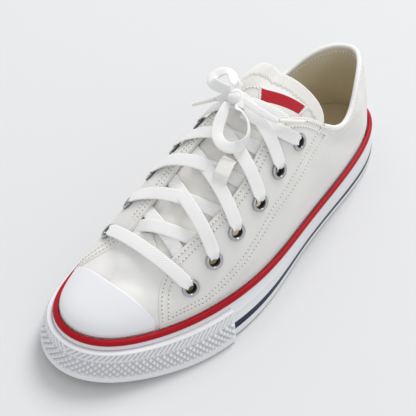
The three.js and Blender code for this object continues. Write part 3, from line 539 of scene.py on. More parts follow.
def cap_faces(ring_):
    """Strips of four-sided faces across a ring of an even number of points."""
    other = ring_[::-1]
    half = len(ring_) // 2
    return np.stack([ring_[:half - 1], ring_[1:half], other[1:half], other[:half - 1]], axis=-1)


def drum_faces(count, facets):
    """The faces of a tube of rings with both of its ends closed."""
    number = np.arange(count * facets).reshape(count, facets)
    sides = grid_faces(count, facets, close_columns=True)
    return np.concatenate([sides, cap_faces(number[0])[:, ::-1], cap_faces(number[-1])])


def tube(name, rings, material, closed=False):
    """A tube through rings of points, its ends closed unless it runs round."""
    count, facets = rings.shape[:2]
    faces = grid_faces(count, facets, True, True) if closed else drum_faces(count, facets)
    along_ = np.linalg.norm(np.diff(rings.mean(axis=1), axis=0), axis=1)
    along_ = np.concatenate([[0], np.cumsum(along_)])[:, None]
    round_ = np.linspace(0, 1, facets, endpoint=False)[None]
    uv = np.stack(np.broadcast_arrays(along_, round_), axis=-1)
    return make(name, rings, faces, material, uv=uv)


def frames(line, up_hint):
    """Side and up directions along a line, with up kept as near as can be to the hint."""
    way = unit(np.gradient(line, axis=0))
    side = unit(np.cross(way, np.broadcast_to(up_hint, line.shape)))
    return way, side, unit(np.cross(side, way))


def joined(name, copies, faces, material, flat=False):
    """One mesh of many equal small shapes: copies is shapes by points by 3."""
    count, size = copies.shape[:2]
    faces = outward(copies[0], faces)
    every = (faces[None] + (np.arange(count) * size)[:, None, None]).reshape(-1, 4)
    return make(name, copies, every, material, turn=False, flat=flat)


# ---------------------------------------------------------------- shader maths
class Shade:
    """A shader value that takes part in sums, products and comparisons."""

    def __init__(self, tree, socket):
        self.tree = tree
        self.socket = socket

    def node(self, kind, settings=None, **inputs):
        """Adds a node, first its settings and then its sockets, which may be other shader values."""
        made = self.tree.nodes.new(kind)
        for key, value in (settings or {}).items():
            setattr(made, key, value)
        for key, value in inputs.items():
            place = int(key[1:]) if key[0] == "_" else key.replace("_", " ")
            if isinstance(value, Shade):
                self.tree.links.new(value.socket, made.inputs[place])
            else:
                made.inputs[place].default_value = value
        return made

    def math(self, operation, *values):
        """A maths node on values."""
        places = {f"_{k}": value for k, value in enumerate(values)}
        made = self.node("ShaderNodeMath", {"operation": operation}, **places)
        return Shade(self.tree, made.outputs[0])

    def __add__(self, other):
        return self.math("ADD", self, other)

    def __sub__(self, other):
        return self.math("SUBTRACT", self, other)

    def __rsub__(self, other):
        return self.math("SUBTRACT", other, self)

    def __mul__(self, other):
        return self.math("MULTIPLY", self, other)

    def __truediv__(self, other):
        return self.math("DIVIDE", self, other)

    __radd__ = __add__
    __rmul__ = __mul__

    def sine(self):
        """The sine of the value."""
        return self.math("SINE", self)

    def size(self):
        """The value without its sign."""
        return self.math("ABSOLUTE", self)

    def above(self, level):
        """1 where the value is above the level, else 0."""
        return self.math("GREATER_THAN", self, level)

    def ramp(self, low, high):
        """0 below low, 1 above high, smooth between."""
        made = self.node(
            "ShaderNodeMapRange", {"interpolation_type": "SMOOTHSTEP"},
            Value=self, From_Min=low, From_Max=high, To_Min=0.0, To_Max=1.0,
        )
        return Shade(self.tree, made.outputs[0])

    def mix(self, first, second):
        """The first colour where this value is 0 and the second where it is 1."""
        made = self.node("ShaderNodeMix", {"data_type": "RGBA"})
        self.tree.links.new(self.socket, made.inputs[0])
        for value, place in ((first, 6), (second, 7)):
            if isinstance(value, Shade):
                self.tree.links.new(value.socket, made.inputs[place])
            else:
                made.inputs[place].default_value = (*value, 1)
        return Shade(self.tree, made.outputs[2])


class Finish:
    """A material under making: its principled shader, its coordinates and its height for the bump."""

    def __init__(self, name, colour, roughness, metallic=0.0):
        self.material = bpy.data.materials.new(name)
        self.material.use_nodes = True
        self.tree = self.material.node_tree
        self.shader = self.tree.nodes["Principled BSDF"]
        self.shader.inputs["Base Color"].default_value = (*colour, 1)
        self.shader.inputs["Roughness"].default_value = roughness
        self.shader.inputs["Metallic"].default_value = metallic
        self.start = Shade(self.tree, None)

    def cloth_places(self):
        """The two flat cloth coordinates in millimetres."""
        uv = self.start.node("ShaderNodeUVMap", {"uv_map": "cloth"})
        parts = self.start.node("ShaderNodeSeparateXYZ")
        self.tree.links.new(uv.outputs[0], parts.inputs[0])
        return Shade(self.tree, parts.outputs[0]), Shade(self.tree, parts.outputs[1])

    def noise(self, scale, detail=2.0):
        """Noise from 0 to 1 through the object's own space, its scale in bumps per metre."""
        place = self.start.node("ShaderNodeTexCoord")
        made = self.start.node("ShaderNodeTexNoise", Scale=float(scale), Detail=detail, Roughness=0.55)
        self.tree.links.new(place.outputs["Object"], made.inputs["Vector"])
        return Shade(self.tree, made.outputs["Fac"])

    def paint(self, colour):
        """Links a colour to the base colour."""
        self.tree.links.new(colour.socket, self.shader.inputs["Base Color"])

    def relief(self, height, depth_mm, strength=1.0):
        """A bump whose height runs from 0 to 1 over a depth."""
        made = self.start.node("ShaderNodeBump", Strength=strength, Distance=depth_mm * MM, Height=height)
        self.tree.links.new(made.outputs[0], self.shader.inputs["Normal"])

    def gloss(self, level):
        """How strongly the surface mirrors at a right angle, 0.5 being a common plastic."""
        self.shader.inputs["Specular IOR Level"].default_value = level

    def sheen(self, weight):
        """A soft cloth sheen, the same all over."""
        self.shader.inputs["Sheen Weight"].default_value = weight


def canvas(name, colour, thread=0.62, depth=0.12, dirt=0.03):
    """Plain weave: warp and weft threads in turn on top, on a slightly uneven white, with painted shade in
    the gaps between the threads.
    """
    made = Finish(name, colour, 0.92)
    over, up = made.cloth_places()
    turn = math.pi / thread
    warp = (over * turn).sine()
    weft = (up * turn).sine()
    top = (warp * weft).above(0.0)
    weave = top * warp.size() + (1 - top) * weft.size()
    cloud = made.noise(38, 3.0)
    low = tuple(channel * (1 - dirt) for channel in colour)
    # painted shade: a darker copy of the colour, mixed in where the threads leave gaps
    dark = tuple(channel * 0.86 for channel in colour)
    gap = (1 - weave.ramp(0.05, 0.5)) * 0.55
    made.paint(gap.mix(cloud.ramp(0.35, 0.65).mix(low, colour), dark))
    made.relief(weave * 0.75 + made.noise(900, 1.0) * 0.25, depth, 0.7)
    made.sheen(0.12)
    return made.material


def rubber(name, colour, roughness, grain=0.02, gloss=0.4):
    """Moulded rubber: a slightly cloudy colour and a fine grain."""
    made = Finish(name, colour, roughness)
    made.gloss(gloss)
    cloud = made.noise(26, 3.0)
    made.paint(cloud.ramp(0.3, 0.7).mix(tuple(c * 0.975 for c in colour), colour))
    made.relief(made.noise(700, 2.0), grain, 0.5)
    return made.material


def foxing_finish():
    """White rubber with a dark line: the flat coordinates are the angle round the shoe and the height
    measured from the line's middle, over half of the line's width."""
    made = Finish("foxing_rubber", WHITE_RUBBER, 0.42)
    made.gloss(0.25)
    _, level = made.cloth_places()
    line = 1 - level.size().ramp(0.94, 1.06)
    cloud = made.noise(26, 3.0)
    white = cloud.ramp(0.3, 0.7).mix(tuple(c * 0.975 for c in WHITE_RUBBER), WHITE_RUBBER)
    made.paint(line.mix(white, NAVY))
    made.relief(made.noise(700, 2.0), 0.02, 0.5)
    return made.material


def bumper_finish():
    """White rubber with painted shade greying the grooves: the second flat coordinate is 0 deep in the
    grooves and 1 on top.
    """
    made = Finish("bumper_rubber", WHITE_RUBBER, 0.5)
    made.gloss(0.3)
    _, level = made.cloth_places()
    # painted shade: a darker copy of the white rubber for the grooves
    groove_shade = tuple(channel * 0.70 for channel in WHITE_RUBBER)
    made.paint(level.ramp(0.0, 0.75).mix(groove_shade, WHITE_RUBBER))
    made.relief(made.noise(700, 2.0), 0.02, 0.5)
    return made.material


def lace_finish():
    """Cotton tape: fine slanting ribs along it, by its own length and place across, with painted shade
    between the ribs.
    """
    made = Finish("lace_cotton", LACE_WHITE, 0.88)
    run, across = made.cloth_places()
    rib = ((run + across * 1.35) * (math.tau / 1.6)).sine() * 0.5 + 0.5
    # painted shade: the colour darkens where the ribs sink
    made.paint(rib.ramp(0.0, 0.55).mix(tuple(c * 0.91 for c in LACE_WHITE), LACE_WHITE))
    made.relief(rib * 0.8 + made.noise(1400, 1.0) * 0.2, 0.12, 0.8)
    made.sheen(0.15)
    return made.material


CANVAS = canvas("canvas", CANVAS_WHITE)
TONGUE_CLOTH = canvas("tongue_canvas", TONGUE_WHITE, thread=0.7)
LINING = canvas("lining_cloth", LINING_TAN, thread=0.8, depth=0.1)
INSOLE_CLOTH = canvas("insole_cloth", INSOLE_TAN, thread=0.8, depth=0.1)
BINDING = canvas("binding_cloth", BINDING_WHITE, thread=0.9, depth=0.1)
THREAD = Finish("thread", THREAD_WHITE, 0.8).material
# Painted shade for the needle holes between the stitches.
HOLE_SHADE = Finish("needle_hole_shade", (0.40, 0.37, 0.33), 0.95).material
CAP = rubber("cap_rubber", CAP_WHITE, 0.36, 0.008)
BUMPER = bumper_finish()
BEAD = rubber("stripe_rubber", RED, 0.38, 0.01, 0.15)
SOLE = rubber("sole_rubber", (0.42, 0.24, 0.11), 0.75, 0.08)
FOXING = foxing_finish()
LACE = lace_finish()
AGLET = Finish("aglet_plastic", (0.85, 0.83, 0.77), 0.3).material
RED_CLOTH = canvas("label_red", (0.46, 0.008, 0.02), thread=0.5, depth=0.06)
LABEL_CLOTH = canvas("label_white", (0.85, 0.84, 0.82), thread=0.5, depth=0.06)
METAL = Finish("eyelet_steel", STEEL, 0.2, 1.0).material
# Darker copies of the steel as painted shade: on the eyelets' flanks and down their tubes.
EYELET_FLANK_SHADE = Finish("eyelet_flank_shade", (0.13, 0.13, 0.135), 0.25, 1.0).material
EYELET_TUBE_SHADE = Finish("eyelet_tube_shade", (0.05, 0.05, 0.05), 0.5, 0.6).material


# ---------------------------------------------------------------- seams
OUTER_FACING = ((45.5, 0.10), (58.7, 0.116), (67.5, 0.209), (77.4, 0.302), (84.6, 0.371), (95.1, 0.392),
                (101.5, 0.41), (108.0, 0.425), (113.5, 0.43))
FACING_GAP = 4.2
EDGE_ROWS = (2.0, 5.4)
COLLAR_ROW = 3.4
HEEL_ROW = 1.6
EYELET_HOLE_RADIUS = 3.05
SHELL_LOW, SHELL_UNDER = -0.4, -0.75
PANEL_OUT, PANEL_IN = 0.3, -0.7


def front_edge(share, side):
    """The angle of the quarter's front edge at a share of the rim's height, for side 1 or -1."""
    share = np.clip(share, 0, 1)
    outer = 42.7 + 1.0 * share + 8.0 * share**6
    inner = 36.5 + 0.6 * share + 13.0 * share**7
    return side * np.where(side > 0, outer, inner)


def facing_share(degrees):
    """The share v of the facing's lower stitch row."""
    table = np.array(OUTER_FACING)
    return np.interp(np.abs(degrees), table[:, 0], table[:, 1])


def shifted(degrees, v, square, offset=0.0):
    """A line of places moved square to itself within the surface by millimetres, as angles and
    shares: the move is split along the surface's two tangents."""
    line = skin(degrees, v, offset)
    way = unit(np.gradient(line, axis=0))
    normal = skin_normal(degrees, v)
    move = np.cross(normal, way) * np.broadcast_to(square, v.shape)[:, None]
    round_ = last_point(degrees + 0.5, v) - last_point(degrees - 0.5, v)
    up = (last_point(degrees, v + 0.005) - last_point(degrees, v - 0.005)) * 100
    rr, ru, uu = (round_ * round_).sum(-1), (round_ * up).sum(-1), (up * up).sum(-1)
    mr, mu = (move * round_).sum(-1), (move * up).sum(-1)
    det = rr * uu - ru * ru
    return degrees + (mr * uu - mu * ru) / det, v + (mu * rr - mr * ru) / det


STITCHES = []
NEEDLE_HOLE_SHADES = []


def sew(line, normal, pitch=2.3, length=1.8, radius=0.44, holes=True):
    """Stitches laid end to end along a line of points on a surface with these normals; with holes, a small
    dark lens of painted shade follows each stitch.
    """
    count = max(int(line_length(line) / pitch), 2)
    both = even(np.hstack([line, normal]), count * 2 + 1)
    middle, up = both[1::2, :3], unit(both[1::2, 3:])
    way = unit(both[2::2, :3] - both[:-2:2, :3])
    STITCHES.append((middle, way, up, np.full(count, length), np.full(count, radius)))
    # painted shade: a dark lens at the needle hole after each stitch
    if holes:
        NEEDLE_HOLE_SHADES.append((middle + way * (pitch / 2), way, up, np.full(count, radius * 0.95)))


def sew_skin(degrees, v, offset, **sizes):
    """Stitches along a line of angles and shares on the creased canvas."""
    sew(cloth(degrees, v, offset), skin_normal(degrees, v), **sizes)


def make_needle_hole_shades():
    """Painted shade at the needle holes between the stitches: small flat dark lenses."""
    middle, way, up, radius = (np.concatenate(part) for part in zip(*NEEDLE_HOLE_SHADES))
    side = np.cross(way, up)
    angle = np.linspace(0, 2 * np.pi, 8, endpoint=False)
    ring_ = way[:, None] * np.cos(angle)[None, :, None] + side[:, None] * np.sin(angle)[None, :, None]
    ring_ = middle[:, None] + ring_ * radius[:, None, None]
    shapes = np.stack([ring_ + up[:, None] * 0.06, ring_ - up[:, None] * 0.3], axis=1)
    shapes = shapes.reshape(len(middle), 16, 3)
    return joined("needle_hole_shades", shapes, drum_faces(2, 8), HOLE_SHADE, flat=True)


def make_stitches():
    """All stitches as one mesh: each a bent capsule, low at both ends and proud in its middle."""
    middle, way, up, length, radius = (np.concatenate(part) for part in zip(*STITCHES))
    side = np.cross(way, up)
    place = np.array([-0.5, -0.42, -0.2, 0.2, 0.42, 0.5])
    thick = np.array([0.25, 0.75, 1.0, 1.0, 0.75, 0.25])
    lift = np.array([-0.9, -0.25, 0.35, 0.35, -0.25, -0.9])
    angle = np.linspace(0, 2 * np.pi, 6, endpoint=False)
    spine = middle[:, None] + way[:, None] * (place[None, :, None] * length[:, None, None])
    spine = spine + up[:, None] * (lift[None, :, None] * radius[:, None, None])
    cosine, sine = (wave(angle)[None, None, :, None] for wave in (np.cos, np.sin))
    ring_ = side[:, None, None] * cosine + up[:, None, None] * sine
    shapes = spine[:, :, None] + ring_ * (thick[None, :, None, None] * radius[:, None, None, None])
    return joined("stitches", shapes.reshape(len(shapes), 36, 3), drum_faces(6, 6), THREAD)


# ---------------------------------------------------------------- upper
def seam_dip(degrees, v):
    """Soft troughs under the stitch rows, with a gentle pucker along them."""
    below_rim = (rim(degrees) - v) * MM_PER_SHARE
    facing = (v - facing_share(degrees)) * MM_PER_SHARE
    on_panel = smooth_step(0, 4, (np.abs((degrees + 180) % 360 - 180) - 44) * MM_PER_DEGREE)
    early = 1 - smooth_step(112, 116, np.abs((degrees + 180) % 360 - 180))
    pucker = 1 + 0.5 * np.sin(np.radians(degrees) * 62) * np.cos(np.radians(degrees) * 23)
    rows = np.exp(-((below_rim - 3.6) / 3.0) ** 2) * 0.16
    rows += np.exp(-((facing - FACING_GAP / 2) / 3.4) ** 2) * 0.30 * early
    return -rows * on_panel * pucker


def eyelet_places():
    """The twelve eyelets: label, angle and share."""
    for number, (angle_out, v_out, angle_in, v_in) in enumerate(EYELETS, 1):
        yield f"outer_{number}", angle_out, v_out
        yield f"inner_{number}", -angle_in, v_in


def cutters():
    """Twelve joined round bars, one through each eyelet."""
    turn = np.linspace(0, 2 * np.pi, 24, endpoint=False)
    bars = []
    for _, degrees, v in eyelet_places():
        centre, normal = last_point(degrees, v), skin_normal(degrees, v)
        side = unit(np.cross(normal, [0.0, 0.0, 1.0]))
        other = np.cross(normal, side)
        circle = EYELET_HOLE_RADIUS * (np.cos(turn)[:, None] * side + np.sin(turn)[:, None] * other)
        bars.append(np.concatenate([centre + circle - 7 * normal, centre + circle + 5 * normal]))
    return joined("eyelet_bars", np.array(bars), drum_faces(2, 24), METAL, flat=True)


def pierce(piece, bars):
    """Cuts the bars out of a piece for good."""
    cut = piece.modifiers.new("holes", "BOOLEAN")
    cut.operation = "DIFFERENCE"
    cut.solver = "EXACT"
    cut.object = bars
    depsgraph = bpy.context.evaluated_depsgraph_get()
    mesh = bpy.data.meshes.new_from_object(piece.evaluated_get(depsgraph))
    piece.modifiers.clear()
    piece.data = mesh
    return piece


def make_upper(bars):
    """The whole canvas wall with its lining, from the footbed up to the throat and the collar, and
    over the ridge at the toe and vamp."""
    columns, wall_rows, vamp_rows = 240, 34, 26
    degrees = np.arange(columns) * 360 / columns
    from_toe = np.abs((degrees + 180) % 360 - 180)
    top = rim(degrees)[:, None]
    shares = np.concatenate([
        np.broadcast_to(np.linspace(-1, -0.16, 6), (columns, 6)),
        top * np.linspace(0, 1, wall_rows),
        top + (1 - top) * np.linspace(0, 1, vamp_rows + 1)[1:],
    ], axis=1)
    angle = np.broadcast_to(degrees[:, None], shares.shape)
    side = np.where(angle < 180, 1.0, -1.0)
    edge = np.abs(front_edge(shares / top, side))
    under = smooth_step(1.5, 4.5, np.broadcast_to(from_toe[:, None], shares.shape) - edge)
    under = np.where(shares > top + 0.02, 0, under)
    low = SHELL_LOW + (SHELL_UNDER - SHELL_LOW) * under
    folds = creases(angle, shares) * smooth_step(-0.02, 0.12, shares)
    outer, inner = skin(angle, shares, low + folds), skin(angle, shares, folds - WALL)
    faces = grid_faces(*shares.shape, close_rows=True).reshape(columns, -1, 4)
    vamp = (from_toe <= 48) & (np.roll(from_toe, -1) <= 48)
    rim_row = 6 + wall_rows - 1
    keep = np.ones(faces.shape[:2], bool)
    keep[~vamp, rim_row:] = False
    piece = thicken("upper_canvas", outer, inner, faces[keep], [CANVAS, LINING],
                    surface_uv(outer), inner_kind=1)
    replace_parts(piece, "upper")
    return pierce(piece, bars)


def quarter_grid(side, first, last_angle, across, up_rows, low=-0.14):
    """Angles and shares of a side panel from its front edge to its rear edge."""
    share = np.concatenate([np.linspace(low, 0.985, up_rows - 1), [1.0]])
    step = np.concatenate([[0.0, 0.004], np.linspace(0.008, 1, across - 2)])[:, None]
    start = np.abs(front_edge(share, side)) if first is None else np.full(up_rows, first)
    angle = side * (start[None] + (last_angle - start[None]) * step)
    return angle, share[None] * rim(angle)


def make_quarter(name, side, bars):
    """A side panel of canvas that lies on the vamp at its front edge and carries the eyelets."""
    angle, v = quarter_grid(side, None, 168.0, 190, 46)
    soft = np.zeros(v.shape)
    soft[0] = soft[:, -1] = -0.4
    dent = creases(angle, v) * smooth_step(-0.02, 0.12, v)
    outer = skin(angle, v, PANEL_OUT + soft + dent + seam_dip(angle, v))
    inner = skin(angle, v, PANEL_IN + dent)
    piece = slab(name, outer, inner, CANVAS)
    return pierce(piece, bars)


def make_heel_strip():
    """The strip over the heel's seam, sewn along both edges."""
    angle, v = quarter_grid(1, HEEL_STRIP_ANGLE, 360 - HEEL_STRIP_ANGLE, 40, 30)
    soft = np.zeros(v.shape)
    soft[0] = soft[-1] = -0.35
    outer = cloth(angle, v, PANEL_OUT + 0.5 + soft)
    piece = slab("heel_strip", outer, cloth(angle, v, PANEL_OUT - 0.2), CANVAS)
    for edge, square in ((HEEL_STRIP_ANGLE, -HEEL_ROW), (360 - HEEL_STRIP_ANGLE, HEEL_ROW)):
        v_line = np.linspace(0.03, 0.96, 60) * rim(np.full(60, edge))
        degrees, v_line = shifted(np.full(60, float(edge)), v_line, square)
        sew_skin(degrees, v_line, PANEL_OUT + 0.55)
    return piece


def sew_quarter(side):
    """The panel's stitch rows: two inside the front edge, the throat and the top of the eyestay, two
    along the facing's lower edge, and one under the collar."""
    for inset in EDGE_ROWS:
        share = np.linspace(0.06, 0.93, 60)
        front = front_edge(share, side)
        degrees, v = shifted(front, share * rim(front), -side * inset)
        keep = v < rim(degrees) - inset / MM_PER_SHARE
        sew_skin(degrees[keep], v[keep], PANEL_OUT + 0.05)
        degrees = side * np.linspace(52.5, 115 if side > 0 else 116, 200)
        degrees, v = shifted(degrees, rim(degrees), -side * inset)
        sew_skin(degrees, v, PANEL_OUT + 0.02)
    for rise in (0, FACING_GAP):
        degrees = side * np.linspace(46.5 + rise / 3, 112.5, 200)
        extra = 0.0 if side > 0 else 0.05
        v = facing_share(degrees) + extra + rise / MM_PER_SHARE
        sew_skin(degrees, v, PANEL_OUT - 0.1)
    degrees = side * np.linspace(117, 164, 120)
    degrees, v = shifted(degrees, rim(degrees), -side * COLLAR_ROW)
    sew_skin(degrees, v, PANEL_OUT + 0.02, holes=False)
    degrees = side * np.linspace(114, 180, 140)
    degrees, v = shifted(degrees, rim(degrees), -side * 6.0)
    sew(cloth(degrees, v, -WALL - 0.05), -skin_normal(degrees, v))


def make_collar():
    """The folded tape over the collar's edge."""
    degrees = np.linspace(113.5, 247.5, 220)
    v = rim(degrees)
    line = cloth(degrees, v, 0.0)
    normal = skin_normal(degrees, v)
    way = unit(np.gradient(line, axis=0))
    up = unit(np.cross(normal, way))
    up *= np.sign(up[:, 2:3])
    centre = line + normal * (PANEL_OUT - WALL) / 2 - up * 1.0
    ends = smooth_step(0, 6, np.arange(220)) * smooth_step(0, 6, 219 - np.arange(220))
    rings = sections(centre, normal, up, 1.55 * (0.85 + 0.15 * ends), 2.0 * (0.7 + 0.3 * ends), 20, 2.6)
    return tube("collar_binding", rings, BINDING)


def make_cap():
    """The rubber toe cap: the skin of the toe up to a rear edge bowed forwards, in two halves that
    share the ridge."""
    rear_x, skew, bow, half = 96.0, -0.09, 25.0, WELT_LENGTH / 4
    rows, columns = 73, 46
    degrees = np.linspace(0, 54, rows)
    halves = []
    for side in (1, -1):
        fine = np.linspace(0, 1, 241)
        spots = last_point(side * degrees[:, None], fine[None])
        s = np.clip((spots[..., 1] + half) / (2 * half), 0, 1)
        corner = rear_x - bow / 2
        edge_x = ((1 - s) ** 2 * (corner - half * skew) + 2 * s * (1 - s) * (corner + bow)
                  + s**2 * (corner + half * skew))
        ahead = spots[..., 0] - edge_x
        passed = ahead < 0
        first = np.where(passed.any(axis=1), passed.argmax(axis=1), 240)
        before = np.maximum(first - 1, 0)
        row = np.arange(rows)
        a, b = ahead[row, before], ahead[row, first]
        end = np.where(passed.any(axis=1), (before + a / np.maximum(a - b, 1e-6)) / 240, 1.0)
        halves.append((end, passed[:, 0]))
    usable = ~(halves[0][1] & halves[1][1])
    degrees, ends = degrees[usable], [half_[0][usable] for half_ in halves]
    place = np.concatenate([[0], np.linspace(0.02, 0.985, columns - 2), [1]])
    grids = []
    for side, end in zip((1, -1), ends):
        low = np.minimum(-0.05, end - 0.06)[:, None]
        v = low + (np.maximum(end, 0.004)[:, None] - low) * place
        angle = side * np.broadcast_to(degrees[:, None], v.shape)
        soft = np.zeros(v.shape)
        soft[:, -1] = np.where(end < 0.999, -0.45, 0)
        grids.append([skin(angle, v, 0.55 + soft), skin(angle, v, -0.45)])
    outer = np.concatenate([grids[0][0], grids[1][0]], axis=1)
    inner = np.concatenate([grids[0][1], grids[1][1]], axis=1)
    faces = grid_faces(len(degrees), 2 * columns).reshape(len(degrees) - 1, -1, 4)
    one_half, other_half = faces[:, :columns - 1].reshape(-1, 4), faces[:, columns:].reshape(-1, 4)
    faces = np.concatenate([one_half, other_half[:, ::-1]])
    piece = thicken("toe_cap_rubber", outer, inner, faces, CAP)
    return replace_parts(piece, "toe_cap")


# ---------------------------------------------------------------- sole
def skirt_beside(degrees, height, offset=GAP):
    """A point just outside the upper's skirt at one height."""
    top, low = last_point(degrees, 0.0)[..., 2], last_point(degrees, -1.0)[..., 2]
    point = skin(degrees, -np.clip((top - height) / (top - low), 0, 1), np.full(np.shape(degrees), offset))
    point[..., 2] = height
    return point


def line_level(degrees):
    """The middle height of the foxing's dark line and half its width, by angle."""
    from_toe = np.abs((degrees + 180) % 360 - 180)
    middle = np.interp(from_toe, (0, 66, 90, 120, 180), (8.2, 8.2, 8.0, 7.6, 7.6))
    half = np.interp(from_toe, (0, 66, 95, 180), (2.1, 2.1, 1.8, 1.8))
    return middle, half


def make_foxing():
    """The white band round the sole: a straight face with a rolled lower edge, one fine raised line
    and the inner faces against the upper and the sole."""
    degrees = np.linspace(0, 360, 420, endpoint=False)
    low, top = floor_point(degrees)[:, 2] + 0.9, welt_point(degrees)[:, 2] - STRIPE_HEIGHT - 0.1
    share = np.concatenate([[0, 0.02, 0.05], np.linspace(0.09, 0.95, 44), [0.98, 1.0]])
    heights = low[:, None] + (top - low)[:, None] * share
    angle = np.broadcast_to(degrees[:, None], heights.shape)
    fine = 0.45 * np.exp(-(((heights - 16.4) / 0.55) ** 2))
    rolled = -0.9 * (1 - smooth_step(0, 0.06, share)) ** 2 - 0.3 * smooth_step(0.97, 1, share)
    face = foxing_at(angle, heights, fine + rolled)
    back = [
        skirt_beside(degrees, top), bed_edge(degrees, -FOXING_THICKNESS),
        foxing_at(degrees, low, -FOXING_THICKNESS),
    ]
    rings = np.concatenate([face, np.stack(back, axis=1)], axis=1)
    middle, half = line_level(degrees)
    level = (heights - middle[:, None]) / half[:, None]
    level = np.concatenate([level, np.full((len(degrees), 3), 9.0)], axis=1)
    uv = np.stack([np.broadcast_to(degrees[:, None], level.shape), level], axis=-1)
    faces = grid_faces(*level.shape, close_rows=True, close_columns=True)
    piece = make("foxing_band", rings, faces, FOXING, uv=uv)
    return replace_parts(piece, "foxing")


def make_bead():
    """The red strip round the foxing's top edge, flat in front with rounded corners."""
    degrees = np.linspace(0, 360, 360, endpoint=False)
    middle = welt_point(degrees)[:, 2] - 0.56 * STRIPE_HEIGHT
    line = foxing_at(degrees, middle, np.full(360, -0.55))
    away = away_from_sole(degrees)
    low = foxing_at(degrees, middle - 1, np.zeros(360))
    rise = unit(foxing_at(degrees, middle + 1, np.zeros(360)) - low)
    rings = sections(line, away, rise, 1.4, 0.44 * STRIPE_HEIGHT, 24, 3.0)
    piece = tube("foxing_bead", rings, BEAD, closed=True)
    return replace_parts(piece, "foxing_stripe")


def triangle_wave(value):
    """0 at whole numbers and 1 half way between."""
    return 1 - np.abs(2 * (value - np.floor(value)) - 1)


def make_bumper():
    """The toe's band: slanting ribs at the top, rows of small pyramids, and a smooth lower strip."""
    degrees = np.linspace(-BUMPER_END_ANGLE, BUMPER_END_ANGLE, 620)
    share = np.concatenate([[0.035, 0.045, 0.06], np.linspace(0.075, 0.76, 62), [0.772, 0.78]])
    walk = foxing_point(degrees, 0.45, np.zeros(620))
    run = np.concatenate([[0], np.cumsum(np.linalg.norm(np.diff(walk, axis=0), axis=1))])
    run = (run - run[-1] / 2)[:, None]
    angle = np.broadcast_to(degrees[:, None], (620, len(share)))
    height = np.linalg.norm(welt_point(degrees) - floor_point(degrees), axis=1)[:, None] * share
    ribs_low = np.interp(np.abs(degrees), (0, 30, 66), (0.60, 0.60, 0.56))[:, None]
    slant = np.sign(run)
    ribs = triangle_wave((run * slant - height * 0.9) / 3.0)
    a, b = triangle_wave((run + height * 0.9) / 3.9), triangle_wave((run - height * 0.9) / 3.9)
    pyramids = np.minimum(np.minimum(a, b) * 1.12, 1.0)
    in_ribs = smooth_step(ribs_low - 0.004, ribs_low + 0.012, share) * (1 - smooth_step(0.735, 0.75, share))
    in_grid = smooth_step(0.195, 0.21, share) * (1 - smooth_step(ribs_low - 0.03, ribs_low - 0.012, share))
    ends = smooth_step(0, 1.2, run[-1] - np.abs(run))
    relief = (1.3 * ribs * in_ribs + 1.9 * pyramids * in_grid) * ends
    border = 0.9 * (smooth_step(0.742, 0.752, share) + smooth_step(0.195, 0.185, share))
    body = 0.9 * 4 * share * (1 - share)
    edge = 1.2 * ((1 - smooth_step(0.03, 0.07, share)) ** 2 + smooth_step(0.765, 0.782, share))
    out = GAP + BUMPER_THICKNESS - 0.35 + body + relief + border - edge
    front = foxing_point(angle, share[None], out)
    back = foxing_point(angle, share[None], np.full(angle.shape, 0.1))
    # level is 1 on top and 0 deep in the grooves; the bumper's material paints shade into the grooves by it
    level = 1 - (in_ribs * (1 - ribs) + in_grid * (1 - pyramids)) * ends
    uv = np.dstack(np.broadcast_arrays(run, level))
    piece = thicken("bumper_band", front, back, grid_faces(*level.shape), BUMPER, uv)
    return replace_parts(piece, "toe_bumper")


def make_insole():
    """The cloth-covered footbed, raised a little at its edge."""
    degrees = np.linspace(0, 360, 180, endpoint=False)
    edge = bed_edge(degrees, -FOXING_THICKNESS - GAP - WALL - 1.2)
    spine = ridge_point(degrees)
    share = np.concatenate([np.linspace(0, 0.97, 20), [0.99, 1.0]])
    flat = spine[:, None, :2] + (edge - spine)[:, None, :2] * share[None, :, None]
    bowl = 1.4 * share[None] ** 6 - 0.5 * (share[None] > 0.999)
    top = np.dstack([flat, bed_height(flat[..., 0]) + 3.8 + bowl])
    low = np.dstack([flat, bed_height(flat[..., 0]) + 0.6])
    faces = grid_faces(180, len(share), close_rows=True)
    piece = thicken("insole_bed", top, low, faces, INSOLE_CLOTH, np.dstack([flat]))
    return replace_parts(piece, "insole")


# ---------------------------------------------------------------- tongue
def tongue_point(share, across, depth=0.0, reach=0.0):
    """A point of the tongue: share along it from the toe, across from 0 at its outer edge to 1 at its
    inner edge, depth under its face and reach past its free end in millimetres."""
    share, across, depth, reach = np.broadcast_arrays(*map(np.float64, (share, across, depth, reach)))
    neck = smooth_step(TONGUE_NECK_START, TONGUE_NECK_END, share)
    free = smooth_step(TONGUE_FREE_SHARE, 1, share)
    inner = 1 - (1 - TONGUE_NECK) * neck + (TONGUE_INNER_END - TONGUE_NECK) * free
    v_side = TONGUE_FRONT_SHARE + (TONGUE_BACK_SHARE - TONGUE_FRONT_SHARE) * share
    place = 1 - (1 + inner) * across
    corner = 9 * np.clip(np.abs(across - 0.5) * 2, 0, 1) ** 7
    end = TONGUE_BACK_X - TONGUE_DRAPE * np.clip(place, 0, 1) ** 1.4 + corner - reach
    x = TONGUE_FRONT_X + (end - TONGUE_FRONT_X) * share
    v = 1 - np.abs(place) * (1 - v_side)
    side = np.where(place < 0, -1.0, 1.0)
    degrees = instep_angle(x, v, side)
    # under the toe end of the throat the tongue's cloth rises to meet the vamp
    open_ = smooth_step(0.03, 0.12, v - rim(degrees)) * smooth_step(36, 60, x)
    folds = 0.35 * np.sin(x * 0.35 + place * 2.2) * np.exp(-((x - 46) / 16) ** 2)
    folds += 0.3 * np.exp(-((place + 0.1) / 0.25) ** 2) * np.exp(-((x + 12) / 30) ** 2)
    offset = TONGUE_OFFSET + 1.6 * open_ + folds * smooth_step(0, 0.2, 1 - share) - depth
    point = last_point(degrees, v) + skin_normal(degrees, v) * offset[..., None]
    point[..., 2] += TONGUE_LIFT * free * np.clip(-place / inner, 0, 1)
    return point


